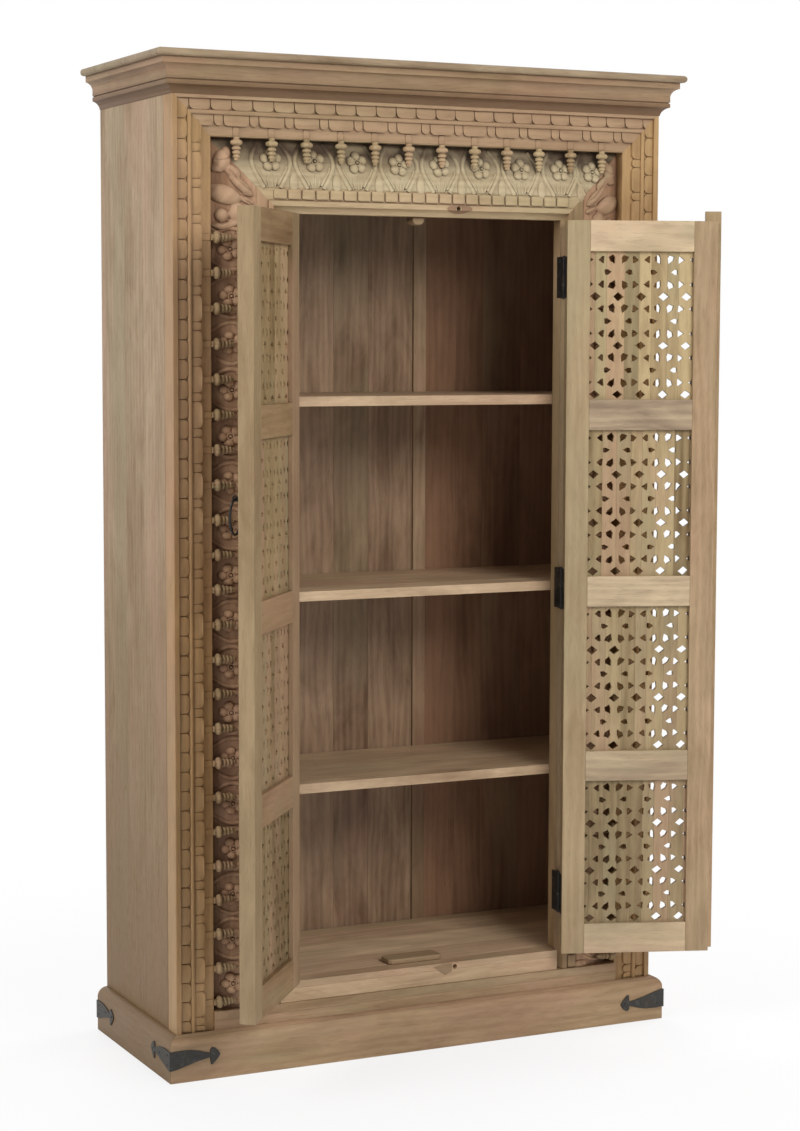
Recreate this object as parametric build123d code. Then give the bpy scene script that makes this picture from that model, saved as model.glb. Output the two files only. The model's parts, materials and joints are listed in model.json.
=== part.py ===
from build123d import *
import os

# Carved hardwood cabinet with two pierced lattice doors, built as joinery.
#
# Millimetres. +Z is up, -Y is the front and +X the right as one faces the doors.
# The origin is on the floor, in the middle of the footprint.
# "Depth" is measured back from the front face of the carved surround.

# Overall size
HEIGHT = 1800.0
BODY_WIDTH = 974.0
BODY_DEPTH = 372.0

# Carcass boards
SIDE_BOARD = 22.0
SHELF_BOARD = 18.0
TOP_BOARD = 18.0
HOUSING_DEPTH = 6.0
SHELF_RISE = 351.0
SHELF_NAMES = ("lower", "middle", "upper")
SHELF_CLEARANCE = 3.0
EDGE_CHAMFER = 2.0

# Framed back
BACK_FRAME = 24.0
BACK_PANEL = 12.0
BACK_RAIL = 90.0
BACK_BOTTOM_RAIL = 141.0
MUNTIN = 27.0
BACK_GROOVE = 6.0
PANEL_PLAY = 1.0

# Surround: carved outer frame, coved frieze and inner frame, from outside in
FRAME_DEPTH = 40.0
OUTER_FRAME = 74.0
FRIEZE = 84.0
INNER_FRAME = 44.0
BOTTOM_RAIL = 115.0
SILL = 38.0
HEAD_RAIL = 56.0

# Outer frame relief: widths from its inner edge, and depths of the steps
PLAIN_BAND = 18.0
PLAIN_BAND_DEPTH = 8.0
PETAL_ROW = 19.0
PETAL_TIP_DEPTH = 2.5
PETAL_ROOT_DEPTH = 5.0
BEAD = 8.0
BEAD_DEPTH = 1.0

# Frieze relief
FRIEZE_CHANNEL_DEPTH = 30.0
FRIEZE_LIP_DEPTH = 6.0
FRIEZE_SWELL = 5.0

# Inner frame relief
INNER_SET_BACK = 3.0
OVOLO = 12.0
INNER_FILLET = 9.0
PEARL_ROW_DEPTH = 5.5
PEARL_EDGE = 2.0

# Peg holes in the front of the lintel and the sill
PEG_HOLE = 9.0
PEG_HOLE_DEPTH = 16.0
PEG_HOLE_X = 67.0
PEG_ABOVE_OPENING = 15.5
PEG_BELOW_OPENING = 8.5

# Cornice
CROWN_BOARD = 13.0
CROWN_OVERHANG = 38.0
CROWN_ROUND = 6.0
CORNICE_HEIGHT = 60.0
CORNICE_OVERHANG = 28.0
CORNICE_FASCIA = 11.0
CORNICE_COVE = 18.0
CORNICE_WAIST = 15.0
CORNICE_QUIRK = 2.0

# Plinth
PLINTH_HEIGHT = 82.0
PLINTH_BOARD = 19.5
BEARER = 22.0

# Corner straps: lengths along the board from the corner, heights across it
STRAP_LENGTH = 94.0
STRAP_THICK = 2.0
STRAP_HEIGHT = 35.0
STRAP_NECK = 8.0
STRAP_NECK_AT = 58.0
STRAP_BARB = 34.0
STRAP_BARB_AT = 66.0

# Turned bosses
BOSS_PITCH_TOP = 66.6
BOSS_PITCH_SIDE = 61.5
BOSS_LOWEST = 131.0
BOSS_AXIS_DEPTH = 5.0
BOSS_SIDES = 6
BOSS_STEM = 12.0
BOSS_STEM_REACH = 5.0
BOSS_DISC = 22.0
BOSS_DISC_THICK = 8.5
BOSS_TIP = 8.0
BOSS_REACH = 40.0

# Doors
HINGE_GAP = 2.0
MEETING_GAP = 3.0
DOOR_END_GAP = 1.5
DOOR_THICK = 28.0
HINGE_STILE = 43.0
FREE_STILE = 44.0
DOOR_RAIL = 56.5
PANELS_PER_DOOR = 4
LATTICE_THICK = 10.0
DOOR_GROOVE = 8.0
LEFT_DOOR_OPEN = 129.0
RIGHT_DOOR_OPEN = 160.0

# Lattice pattern
COLUMN_PITCH = 21.5
PATTERN_REPEATS = 3
TOP_ROW_INSET = 15.0
BOTTOM_ROW_INSET = 9.0
LOZENGE = (18.5, 14.5)
PETAL_HOLE = (15.5, 10.5)
PETAL_LEAN = 26.0
ARROW = (10.0, 12.0)

# Astragal on the right door
ASTRAGAL_WIDTH = 30.0
ASTRAGAL_THICK = 9.0
ASTRAGAL_LAP = 12.5
ASTRAGAL_RISE = 19.0
ASTRAGAL_REBATE = 0.5
ASTRAGAL_ROUND = 3.0

# Butt hinges
HINGE_HEIGHT = 76.0
HINGE_FROM_TOP = 104.0
HINGE_FROM_BOTTOM = 112.0
LEAF_THICK = 2.0
LEAF_WIDTH = 28.0
KNUCKLE_RADIUS = 4.0
KNUCKLE_CLEARANCE = 0.5
KNUCKLE_GAP = 0.4
PIN_RADIUS = 2.0
PIN_CLEARANCE = 0.05
PIN_PROUD = 2.0

# Ring pulls
RING_HEIGHT = 1043.0
RING_INSET = 34.5
RING_RADIUS = 30.5
RING_BAR = 2.3
RING_SEGMENTS = 14
RING_STAND_OFF = 15.0
ROSETTE_RADIUS = 9.0
ROSETTE_THICK = 2.5
EYE_RADIUS = 5.6
EYE_HOLE = 3.0
EYE_THICK = 4.0
EYE_SHANK = 5.0

# Door stops
STOP_CLEARANCE = 0.5
SILL_STOP = (110.0, 42.0, 10.0)
LINTEL_STOP = (24.0, 27.0, 14.0)
STOP_CORNER = 6.0

# Places worked out from the sizes above
half_body = BODY_WIDTH / 2
front = (PLINTH_BOARD - BODY_DEPTH) / 2
back = front + BODY_DEPTH
crown_underside = HEIGHT - CROWN_BOARD
outer_inner_x = half_body - OUTER_FRAME
inner_outer_x = outer_inner_x - FRIEZE
opening_half = inner_outer_x - INNER_FRAME
outer_top = crown_underside - HEAD_RAIL
outer_inner_z = outer_top - OUTER_FRAME
inner_outer_z = outer_inner_z - FRIEZE
opening_top = inner_outer_z - INNER_FRAME
sill_top = BOTTOM_RAIL + SILL
inside_half = half_body - SIDE_BOARD
behind_frame = front + FRAME_DEPTH
back_frame_front = back - BACK_FRAME
back_panel_front = back - (BACK_FRAME + BACK_PANEL) / 2
back_panel_back = back_panel_front + BACK_PANEL

door_front = front + INNER_SET_BACK
door_back = door_front + DOOR_THICK
door_bottom = sill_top + DOOR_END_GAP
door_top = opening_top - DOOR_END_GAP
door_free_x = MEETING_GAP / 2
door_hinge_x = opening_half - HINGE_GAP
panel_left = door_free_x + FREE_STILE
panel_right = door_hinge_x - HINGE_STILE
panel_height = (door_top - door_bottom - (PANELS_PER_DOOR + 1) * DOOR_RAIL) / PANELS_PER_DOOR
groove_front = (door_front + door_back - LATTICE_THICK) / 2
groove_back = groove_front + LATTICE_THICK

axis_x = opening_half - HINGE_GAP / 2
axis_y = door_front - KNUCKLE_RADIUS - KNUCKLE_CLEARANCE
hinge_low = door_bottom + HINGE_FROM_BOTTOM
hinge_high = door_top - HINGE_FROM_TOP
hinge_heights = (hinge_low, (hinge_low + hinge_high) / 2, hinge_high)

MORE = 10.0  # how far a cutter runs past what it cuts


def block(x, y, z):
    """A board between three pairs of limits."""
    centre = [sum(pair) / 2 for pair in (x, y, z)]
    size = [abs(pair[1] - pair[0]) for pair in (x, y, z)]
    return Pos(*centre) * Box(*size)


def flipped(shape):
    """The other hand of a piece."""
    return mirror(shape, about=Plane.YZ)


def outline(start, *steps):
    """Closed face from a start point and steps: a point is a line, a pair of points an arc."""
    edges = []
    here = start
    for step in steps:
        if isinstance(step[0], tuple):
            edges.append(ThreePointArc(here, step[0], step[1]))
            here = step[1]
        else:
            edges.append(Line(here, step))
            here = step
    if here != start:
        edges.append(Line(here, start))
    return make_face(edges)


def bulge(start, end, rise):
    """Middle point of an arc that stands off the chord by rise, to the left of its direction."""
    across = Vector(end[0] - start[0], end[1] - start[1])
    normal = Vector(-across.Y, across.X).normalized()
    middle = Vector(start[0] + across.X / 2, start[1] + across.Y / 2) + normal * rise
    return (middle.X, middle.Y)


# ---------------------------------------------------------------- carcass

def side_panel():
    """Right side board, with housings for the shelves and grooves for the back."""
    board = block((inside_half, half_body), (behind_frame, back), (0, crown_underside))
    board = chamfer(board.edges().filter_by(Axis.Z).group_by(Axis.Y)[0].sort_by(Axis.X)[-1], EDGE_CHAMFER)
    housed = (inside_half - MORE, inside_half + HOUSING_DEPTH)
    for top in [sill_top] + shelf_tops():
        board -= block(housed, (behind_frame - MORE, back_frame_front), (top - SHELF_BOARD, top))
    grooved = (inside_half - MORE, inside_half + BACK_GROOVE)
    board -= block(grooved, (back_panel_front, back_panel_back), back_panel_span())
    return board


def shelf_tops():
    return [sill_top + SHELF_RISE * (i + 1) for i in range(len(SHELF_NAMES))]


def back_panel_span():
    """Lowest and highest level of the back panels, in the grooves of the rails."""
    return (BACK_BOTTOM_RAIL - BACK_GROOVE, crown_underside - TOP_BOARD - BACK_RAIL + BACK_GROOVE)


def shelf(top, first_depth):
    """A board housed in both sides."""
    reach = inside_half + HOUSING_DEPTH
    return block((-reach, reach), (first_depth, back_frame_front), (top - SHELF_BOARD, top))


def back_rail(low, high, groove_from, groove_to):
    rail = block((-inside_half, inside_half), (back_frame_front, back), (low, high))
    slot = (groove_from, groove_to)
    return rail - block((-half_body, half_body), (back_panel_front, back_panel_back), slot)


def back_frame():
    """Rails and muntins that hold three panels of upright boards."""
    rail_top = crown_underside - TOP_BOARD
    rail_foot = rail_top - BACK_RAIL
    top = back_rail(rail_foot, rail_top, rail_foot - MORE, rail_foot + BACK_GROOVE)
    bottom = back_rail(0, BACK_BOTTOM_RAIL, BACK_BOTTOM_RAIL - BACK_GROOVE, BACK_BOTTOM_RAIL + MORE)
    bay = (2 * inside_half - 2 * MUNTIN) / 3
    muntin_x = (bay + MUNTIN) / 2
    muntin = block((muntin_x - MUNTIN / 2, muntin_x + MUNTIN / 2), (back_frame_front, back),
                   (BACK_BOTTOM_RAIL, rail_foot))
    for side in (-1, 1):
        edge = muntin_x + side * MUNTIN / 2
        inner = edge - side * BACK_GROOVE
        muntin -= block(sorted((inner, edge + side * MORE)), (back_panel_front, back_panel_back),
                        (0, HEIGHT))
    low, high = back_panel_span()
    reach = bay / 2 + BACK_GROOVE - PANEL_PLAY
    thickness = (back_panel_front, back_panel_back)
    levels = (low + PANEL_PLAY, high - PANEL_PLAY)
    panels = [block((centre - reach, centre + reach), thickness, levels)
              for centre in (-(bay + MUNTIN), 0, bay + MUNTIN)]
    return top, bottom, muntin, panels


def plinth_face(height):
    """Section of a plinth board: a square foot and a rounded top."""
    radius = PLINTH_BOARD - EDGE_CHAMFER / 2
    flat = PLINTH_BOARD - radius
    bend = 0.7071 * radius
    return outline((0, 0), (PLINTH_BOARD, 0), (PLINTH_BOARD, height - radius),
                   ((flat + bend, height - radius + bend), (flat, height)), (0, height))


def run_front(face, reach):
    """Moulding along the front, from a section of overhang and height, to mitred corners."""
    span = half_body + reach
    plane = Plane(origin=(span, front, 0), x_dir=(0, -1, 0), z_dir=(-1, 0, 0))
    bar = extrude(plane * face, 2 * span)
    corner = corner_wedge(reach, beyond=True)
    return bar - corner - flipped(corner)


def run_side(face, reach):
    """The same moulding along the right side, flush with the back."""
    plane = Plane(origin=(half_body, back, 0), x_dir=(1, 0, 0), z_dir=(0, -1, 0))
    bar = extrude(plane * face, BODY_DEPTH + reach)
    return bar - corner_wedge(reach, beyond=False)


def corner_wedge(reach, beyond):
    """Prism on one side of the mitre at the right front corner of the body."""
    near = (half_body - 1, front + 1)
    far = (half_body + reach + 1, front - reach - 1)
    third = (far[0], near[1]) if beyond else (near[0], far[1])
    points = [near, far, third]
    return extrude(Plane.XY * outline(*points), HEIGHT + MORE)


def crown_board():
    """Top board with a bullnose on the front and the two ends."""
    reach = half_body + CROWN_OVERHANG
    board = block((-reach, reach), (front - CROWN_OVERHANG, back), (crown_underside, HEIGHT))
    levels = board.edges().filter_by(Plane.XY)
    shown = levels.sort_by(Axis.Y)[:2] + levels.filter_by(Axis.Y)
    return fillet(shown, CROWN_ROUND)


def cornice_face():
    """Section of the cornice: fascia, cove, waist with a quirk, and ovolo."""
    top = crown_underside
    foot = top - CORNICE_HEIGHT
    cove_top = (CORNICE_OVERHANG, top - CORNICE_FASCIA)
    cove_foot = (CORNICE_WAIST, cove_top[1] - CORNICE_COVE)
    quirk_top = cove_foot[1] - CORNICE_FASCIA * 0.6
    quirk_foot = quirk_top - CORNICE_QUIRK
    ovolo_top = (CORNICE_WAIST, foot + CORNICE_WAIST)
    return outline(
        (0, foot), (0, top), (CORNICE_OVERHANG, top), cove_top,
        (bulge(cove_top, cove_foot, -CORNICE_COVE / 4), cove_foot),
        (CORNICE_WAIST, quirk_top), (CORNICE_WAIST - CORNICE_QUIRK, quirk_top),
        (CORNICE_WAIST - CORNICE_QUIRK, quirk_foot), (CORNICE_WAIST, quirk_foot), ovolo_top,
        (bulge(ovolo_top, (1, foot), -CORNICE_WAIST / 4.5), (1, foot)))


# ---------------------------------------------------------------- carved surround

def surround_stile(face, edge_x, edge_z, low):
    """Right-hand upright of a mitred surround; the section is width from its inner edge, and depth."""
    plane = Plane(origin=(edge_x, front, low), x_dir=(1, 0, 0), z_dir=(0, 0, 1))
    bar = extrude(plane * face, HEIGHT - low)
    return bar - mitre(edge_x, edge_z, above=True) - block((0, half_body + MORE), (front - MORE, back),
                                                           (edge_z + OUTER_FRAME + MORE, HEIGHT + MORE))


def surround_head(face, edge_x, edge_z):
    """Top member of a mitred surround."""
    reach = edge_x + OUTER_FRAME + FRIEZE
    plane = Plane(origin=(reach, front, edge_z), x_dir=(0, 0, 1), z_dir=(-1, 0, 0))
    bar = extrude(plane * face, 2 * reach)
    corner = mitre(edge_x, edge_z, above=False)
    return bar - corner - flipped(corner)


def mitre(edge_x, edge_z, above):
    """Cutter on one side of the diagonal that starts at the inner corner of a surround."""
    far = OUTER_FRAME + FRIEZE + 2 * MORE
    near = (edge_x - 1, edge_z - 1)
    tip = (edge_x + far, edge_z + far)
    third = (near[0], tip[1]) if above else (tip[0], near[1])
    points = [near, tip, third]
    plane = Plane(origin=(0, front + FRAME_DEPTH + MORE, 0), x_dir=(1, 0, 0), z_dir=(0, -1, 0))
    return extrude(plane * outline(*points), FRAME_DEPTH + 2 * MORE)


def outer_face():
    """Section of the outer frame: plain band, petals, bead, petals and outer fillet."""
    first = PLAIN_BAND
    second = first + PETAL_ROW
    third = second + BEAD
    fourth = third + PETAL_ROW
    return outline(
        (0, PLAIN_BAND_DEPTH), (first, PLAIN_BAND_DEPTH), (first, PETAL_TIP_DEPTH),
        (second, PETAL_ROOT_DEPTH), (second, BEAD_DEPTH + 1),
        (((second + third) / 2, BEAD_DEPTH), (third, BEAD_DEPTH + 1)),
        (third, PETAL_TIP_DEPTH), (fourth, PETAL_ROOT_DEPTH), (fourth, 0), (OUTER_FRAME, 0),
        (OUTER_FRAME, FRAME_DEPTH), (0, FRAME_DEPTH))


def frieze_face():
    """Section of the frieze: it falls away from the inner frame into a deep channel."""
    lip = (0, FRIEZE_LIP_DEPTH)
    floor = (FRIEZE, FRIEZE_CHANNEL_DEPTH)
    return outline(lip, (bulge(lip, floor, -FRIEZE_SWELL), floor),
                   (FRIEZE, FRAME_DEPTH), (0, FRAME_DEPTH))


def inner_face():
    """Section of the inner frame: ovolo at the opening, fillet and a row of pearls."""
    flat = OVOLO + INNER_FILLET
    shoulder = (OVOLO, INNER_SET_BACK)
    edge = (0, INNER_SET_BACK + OVOLO)
    return outline(
        edge, (bulge(edge, shoulder, OVOLO * 0.2), shoulder), (flat, INNER_SET_BACK),
        (flat, PEARL_ROW_DEPTH + 1), (flat + PEARL_EDGE, PEARL_ROW_DEPTH),
        (INNER_FRAME - PEARL_EDGE, PEARL_ROW_DEPTH), (INNER_FRAME, PEARL_ROW_DEPTH + 1),
        (INNER_FRAME, FRAME_DEPTH), (0, FRAME_DEPTH))


def inner_stile():
    """Right inner stile, with a mortise for each hinge leaf."""
    stile = surround_stile(inner_face(), opening_half, opening_top, BOTTOM_RAIL)
    for level in hinge_heights:
        stile -= leaf_pocket(opening_half, opening_half + LEAF_THICK, front - MORE, level)
    return stile


def peg_hole(level):
    """Cutter for a blind hole, drilled from the front."""
    plane = Plane(origin=(PEG_HOLE_X, door_front, level), x_dir=(1, 0, 0), z_dir=(0, 1, 0))
    return extrude(plane * RegularPolygon(PEG_HOLE / 2, 8), PEG_HOLE_DEPTH)


def lintel():
    return (surround_head(inner_face(), opening_half, opening_top)
            - peg_hole(opening_top + PEG_ABOVE_OPENING))


def sill():
    board = block((-opening_half, opening_half), (door_front, behind_frame), (BOTTOM_RAIL, sill_top))
    return board - peg_hole(sill_top - PEG_BELOW_OPENING)


def leaf_pocket(x_low, x_high, y_low, level):
    half = HINGE_HEIGHT / 2
    return block((x_low, x_high), (y_low, axis_y + LEAF_WIDTH), (level - half, level + half))


def boss():
    """Boss on the X axis, pointing to -X: a stem on the plain band, a disc and a tapered neck."""
    half = BOSS_STEM / 2
    stem = block((-BOSS_STEM_REACH, PLAIN_BAND), (-half, PLAIN_BAND_DEPTH - BOSS_AXIS_DEPTH), (-half, half))
    plane = Plane(origin=(-BOSS_STEM_REACH, 0, 0), x_dir=(0, 1, 0), z_dir=(-1, 0, 0))
    section = RegularPolygon(BOSS_DISC / 2, BOSS_SIDES, rotation=180 / BOSS_SIDES)
    turned = extrude(plane * section, BOSS_REACH - BOSS_STEM_REACH)
    tip = turned.faces().sort_by(Axis.X)[0]
    inward = (BOSS_DISC - BOSS_TIP) / 2 * cos_deg(180 / BOSS_SIDES)
    neck = BOSS_REACH - BOSS_STEM_REACH - BOSS_DISC_THICK
    return stem + chamfer(tip.edges(), inward, neck, reference=tip)


def boss_count(room, pitch):
    """How many bosses fit in a stretch."""
    return int(room / pitch)


def bosses_side():
    """Column of bosses on the inner edge of the right outer stile."""
    shape = boss()
    count = boss_count(outer_inner_z - BOSS_LOWEST, BOSS_PITCH_SIDE) + 1
    return [Pos(outer_inner_x, front + BOSS_AXIS_DEPTH, BOSS_LOWEST + BOSS_PITCH_SIDE * i) * shape
            for i in range(count)]


def bosses_head():
    """Row of bosses under the top rail of the outer frame."""
    shape = Rot(0, -90, 0) * boss()
    count = boss_count(2 * outer_inner_x, BOSS_PITCH_TOP)
    first = -BOSS_PITCH_TOP * (count - 1) / 2
    return [Pos(first + BOSS_PITCH_TOP * i, front + BOSS_AXIS_DEPTH, outer_inner_z) * shape
            for i in range(count)]


# ---------------------------------------------------------------- plinth irons and door stops

def strap():
    """Right front corner strap: an arrow on the front board and one on the side board."""
    x = half_body + PLINTH_BOARD
    y = front - PLINTH_BOARD
    arrow = arrow_outline()
    on_front = extrude(Plane(origin=(x, y, PLINTH_HEIGHT / 2), x_dir=(-1, 0, 0), z_dir=(0, -1, 0)) * arrow,
                       STRAP_THICK)
    on_side = extrude(Plane(origin=(x, y, PLINTH_HEIGHT / 2), x_dir=(0, 1, 0), z_dir=(1, 0, 0)) * arrow,
                      STRAP_THICK)
    middle = PLINTH_HEIGHT / 2
    levels = (middle - STRAP_HEIGHT / 2, middle + STRAP_HEIGHT / 2)
    fold = block((x, x + STRAP_THICK), (y - STRAP_THICK, y), levels)
    return on_front + fold + on_side


def rear_strap():
    """Right rear strap: an arrow on the side board, flush with the back."""
    x = half_body + PLINTH_BOARD
    plane = Plane(origin=(x, back, PLINTH_HEIGHT / 2), x_dir=(0, -1, 0), z_dir=(1, 0, 0))
    return extrude(plane * arrow_outline(), STRAP_THICK)


def arrow_outline():
    """Strap outline: it narrows to a neck and ends in a barbed point."""
    half = [(0, STRAP_HEIGHT / 2), (STRAP_NECK_AT / 2, STRAP_HEIGHT / 4), (STRAP_NECK_AT, STRAP_NECK / 2),
            (STRAP_BARB_AT, STRAP_BARB / 2), ((STRAP_BARB_AT + STRAP_LENGTH) / 2, STRAP_BARB / 3.2)]
    mirrored = [(along, -across) for along, across in reversed(half)]
    return outline(*half, (STRAP_LENGTH, 0), *mirrored, half[0])


def door_stops():
    """Blocks behind the meeting stiles, on the sill and under the lintel."""
    start = door_back + STOP_CLEARANCE
    wide, deep, tall = SILL_STOP
    low = block((-wide / 2, wide / 2), (start, start + deep), (sill_top, sill_top + tall))
    low = chamfer(low.edges().filter_by(Axis.Z), STOP_CORNER)
    wide, deep, tall = LINTEL_STOP
    high = block((-wide / 2, wide / 2), (start, start + deep), (opening_top - tall, opening_top))
    high = chamfer(high.edges().filter_by(Axis.Y).group_by(Axis.Z)[0], STOP_CORNER)
    return [low, high]


# ---------------------------------------------------------------- hinges

def six_sided(radius, length, to_corners=True):
    """Upright six-sided bar centred on the origin; the radius is to its corners or to its flats."""
    face = RegularPolygon(radius, 6, major_radius=to_corners)
    return extrude(Pos(0, 0, -length / 2) * face, length)


def hinge_leaf(plate_x, knuckle_span, level):
    """Leaf on the hinge axis: a plate, and a bored knuckle that a tab joins to it."""
    half = HINGE_HEIGHT / 2
    clear = KNUCKLE_RADIUS + KNUCKLE_CLEARANCE
    low, high = knuckle_span
    spot = Pos(axis_x, axis_y, level + (low + high) / 2)
    leaf = block(plate_x, (axis_y + clear, axis_y + LEAF_WIDTH), (level - half, level + half))
    leaf += block(plate_x, (axis_y, axis_y + clear), (level + low, level + high))
    leaf += spot * six_sided(KNUCKLE_RADIUS, high - low)
    return leaf - spot * six_sided(PIN_RADIUS + PIN_CLEARANCE, high - low, to_corners=False)


def hinge_sides():
    """Fixed leaves, moving leaves and pins of the right-hand hinges, closed."""
    half = HINGE_HEIGHT / 2
    gap = KNUCKLE_GAP / 2
    fixed_x = (opening_half, opening_half + LEAF_THICK)
    moving_x = (door_hinge_x - LEAF_THICK, door_hinge_x)
    fixed = [hinge_leaf(fixed_x, (-half, -gap), level) for level in hinge_heights]
    moving = [hinge_leaf(moving_x, (gap, half), level) for level in hinge_heights]
    pin = Cylinder(PIN_RADIUS, HINGE_HEIGHT + 2 * PIN_PROUD)
    pins = [Pos(axis_x, axis_y, level) * pin for level in hinge_heights]
    return fixed, moving, pins


# ---------------------------------------------------------------- doors, modelled closed on the right

def hinge_stile():
    stile = block((panel_right, door_hinge_x), (door_front, door_back), (door_bottom, door_top))
    stile -= block((panel_right, panel_right + DOOR_GROOVE), (groove_front, groove_back),
                   (door_bottom, door_top))
    for level in hinge_heights:
        stile -= leaf_pocket(door_hinge_x - LEAF_THICK, door_hinge_x, door_front, level)
    return stile


def free_stile():
    stile = block((door_free_x, panel_left), (door_front, door_back), (door_bottom, door_top))
    return stile - block((panel_left - DOOR_GROOVE, panel_left), (groove_front, groove_back),
                         (door_bottom, door_top))


def panel_floor(i):
    """Level of the lower edge of opening i, counted from the bottom."""
    return door_bottom + DOOR_RAIL + i * (panel_height + DOOR_RAIL)


def door_rails():
    """Five rails with stub tenons in the grooves of the stiles."""
    rails = []
    for i in range(PANELS_PER_DOOR + 1):
        high = panel_floor(i)
        low = high - DOOR_RAIL
        rail = block((panel_left, panel_right), (door_front, door_back), (low, high))
        rail += block((panel_left - DOOR_GROOVE, panel_right + DOOR_GROOVE),
                      (groove_front, groove_back), (low, high))
        if i > 0:
            rail -= rail_groove(low, low + DOOR_GROOVE)
        if i < PANELS_PER_DOOR:
            rail -= rail_groove(high - DOOR_GROOVE, high)
        rails.append(rail)
    return rails


def rail_groove(low, high):
    return block((0, opening_half), (groove_front, groove_back), (low, high))


def lattice_panel(i):
    """Pierced panel i: rows of petals round flower centres, between rows of lozenges."""
    width = panel_right - panel_left
    seat = DOOR_GROOVE - PANEL_PLAY
    rows = 4 * PATTERN_REPEATS
    row_pitch = (panel_height - TOP_ROW_INSET - BOTTOM_ROW_INSET) / (rows - 1)
    holes = []
    for row in range(rows):
        level = panel_height - TOP_ROW_INSET - row * row_pitch
        holes += [Pos(x, level) * hole for x, hole in lattice_row(row % 4)]
    sheet = Pos(0, panel_height / 2) * Rectangle(width + 2 * seat, panel_height + 2 * seat) - holes
    plane = Plane(origin=((panel_left + panel_right) / 2, groove_back, panel_floor(i)),
                  x_dir=(1, 0, 0), z_dir=(0, -1, 0))
    return extrude(plane * sheet, LATTICE_THICK)


def lattice_row(kind):
    """Holes of one row, as (place across the panel, shape): petals and arrows, a solid row of
    flower centres, petals and arrows again, then lozenges."""
    flower = 2 * COLUMN_PITCH
    half = COLUMN_PITCH / 2
    if kind == 3:
        return [(n * flower, lozenge(*LOZENGE)) for n in range(-2, 3)]
    if kind == 1:
        return []
    inward = 1 if kind == 0 else -1
    holes = []
    for side in (-1, 1):
        for way in (-1, 1):
            petal = Rot(0, 0, -inward * (90 + way * PETAL_LEAN)) * arrow(*PETAL_HOLE)
            holes.append((side * flower + way * half, petal))
        holes.append((side * half, Rot(0, 0, 90 + 90 * side) * arrow(*ARROW)))
    return holes


def lozenge(wide, tall):
    return outline((-wide / 2, 0), (0, tall / 2), (wide / 2, 0), (0, -tall / 2))


def arrow(long, tall):
    """Three-cornered hole with its point towards +X."""
    return outline((long / 2, 0), (-long / 2, tall / 2), (-long / 2, -tall / 2))


def astragal():
    """Cover strip on the right door; its lap and its raised end stand clear of what they cover."""
    right = door_free_x - ASTRAGAL_LAP + ASTRAGAL_WIDTH
    left = door_free_x - ASTRAGAL_LAP
    strip = block((left, right), (door_front - ASTRAGAL_THICK, door_front),
                  (door_bottom, door_top + ASTRAGAL_RISE))
    outer_edges = strip.edges().filter_by(Axis.Z).group_by(Axis.Y)[0]
    strip = fillet(outer_edges, ASTRAGAL_ROUND)
    clear = (door_front - ASTRAGAL_REBATE, door_front)
    strip -= block((left, door_free_x), clear, (door_bottom, door_top + ASTRAGAL_RISE))
    return strip - block((left, right), clear, (door_top, door_top + ASTRAGAL_RISE))


def ring_place():
    """Centre of the ring's top bar, on the closed right door."""
    return (door_free_x + RING_INSET, door_front - RING_STAND_OFF, RING_HEIGHT)


def ring_eye():
    """Rosette with a shank and an eye that the ring hangs in."""
    x, y, z = ring_place()
    rosette = extrude(Plane(origin=(x, door_front, z), x_dir=(1, 0, 0), z_dir=(0, -1, 0))
                      * RegularPolygon(ROSETTE_RADIUS, 12), ROSETTE_THICK)
    half = EYE_SHANK / 2
    shank_end = y + EYE_RADIUS * 0.8
    shank = block((x - EYE_THICK / 2, x + EYE_THICK / 2), (shank_end, door_front - ROSETTE_THICK),
                  (z - half, z + half))
    plane = Plane(origin=(x - EYE_THICK / 2, y, z), x_dir=(0, 1, 0), z_dir=(1, 0, 0))
    eye = extrude(plane * RegularPolygon(EYE_RADIUS, 8, rotation=180 / 8), EYE_THICK)
    hole = extrude(plane * Circle(EYE_HOLE), EYE_THICK)
    return rosette + shank + eye - hole


def ring():
    """Forged ring of straight facets, with a six-sided bar."""
    x, y, z = ring_place()
    centre_z = z - RING_RADIUS
    half_turn = 180 / RING_SEGMENTS
    corner_radius = RING_RADIUS / cos_deg(half_turn)
    path = Plane(origin=(x, y, centre_z), x_dir=(1, 0, 0), z_dir=(0, -1, 0)) * RegularPolygon(
        corner_radius, RING_SEGMENTS, rotation=90 - half_turn)
    section = Plane(origin=(x, y, z), x_dir=(0, 1, 0), z_dir=(1, 0, 0)) * RegularPolygon(RING_BAR, 6)
    return sweep(section, path=path.wire(), transition=Transition.RIGHT)


def cos_deg(angle):
    return Vector(1, 0, 0).rotate(Axis.Z, angle).X


# ---------------------------------------------------------------- assembly

def opened(shape, hand):
    """Swing a closed door piece to its rest position; the left hand is mirrored first."""
    axis = Axis((axis_x, axis_y, 0), (0, 0, 1))
    if hand == "right":
        return shape.rotate(axis, RIGHT_DOOR_OPEN)
    return flipped(shape.rotate(axis, LEFT_DOOR_OPEN))


def group(solids):
    return Compound(children=list(solids)) if len(solids) > 1 else solids[0]


def carcass():
    side = side_panel()
    rail_top, rail_bottom, muntin, panels = back_frame()
    parts = {
        "side_panel_left": [flipped(side)],
        "side_panel_right": [side],
        "back_rails": [rail_bottom, rail_top],
        "back_muntins": [flipped(muntin), muntin],
        "back_panel_left": [panels[0]],
        "back_panel_middle": [panels[1]],
        "back_panel_right": [panels[2]],
        "floor_board": [shelf(sill_top, behind_frame)],
        "top_board": [block((-inside_half, inside_half), (behind_frame, back),
                            (crown_underside - TOP_BOARD, crown_underside))],
        "plinth_bearer": [block((-BEARER / 2, BEARER / 2), (behind_frame, back_frame_front),
                                (0, sill_top - SHELF_BOARD))],
    }
    for name, top in zip(SHELF_NAMES, shelf_tops()):
        parts["shelf_" + name] = [shelf(top, behind_frame + SHELF_CLEARANCE)]
    return parts


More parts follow.
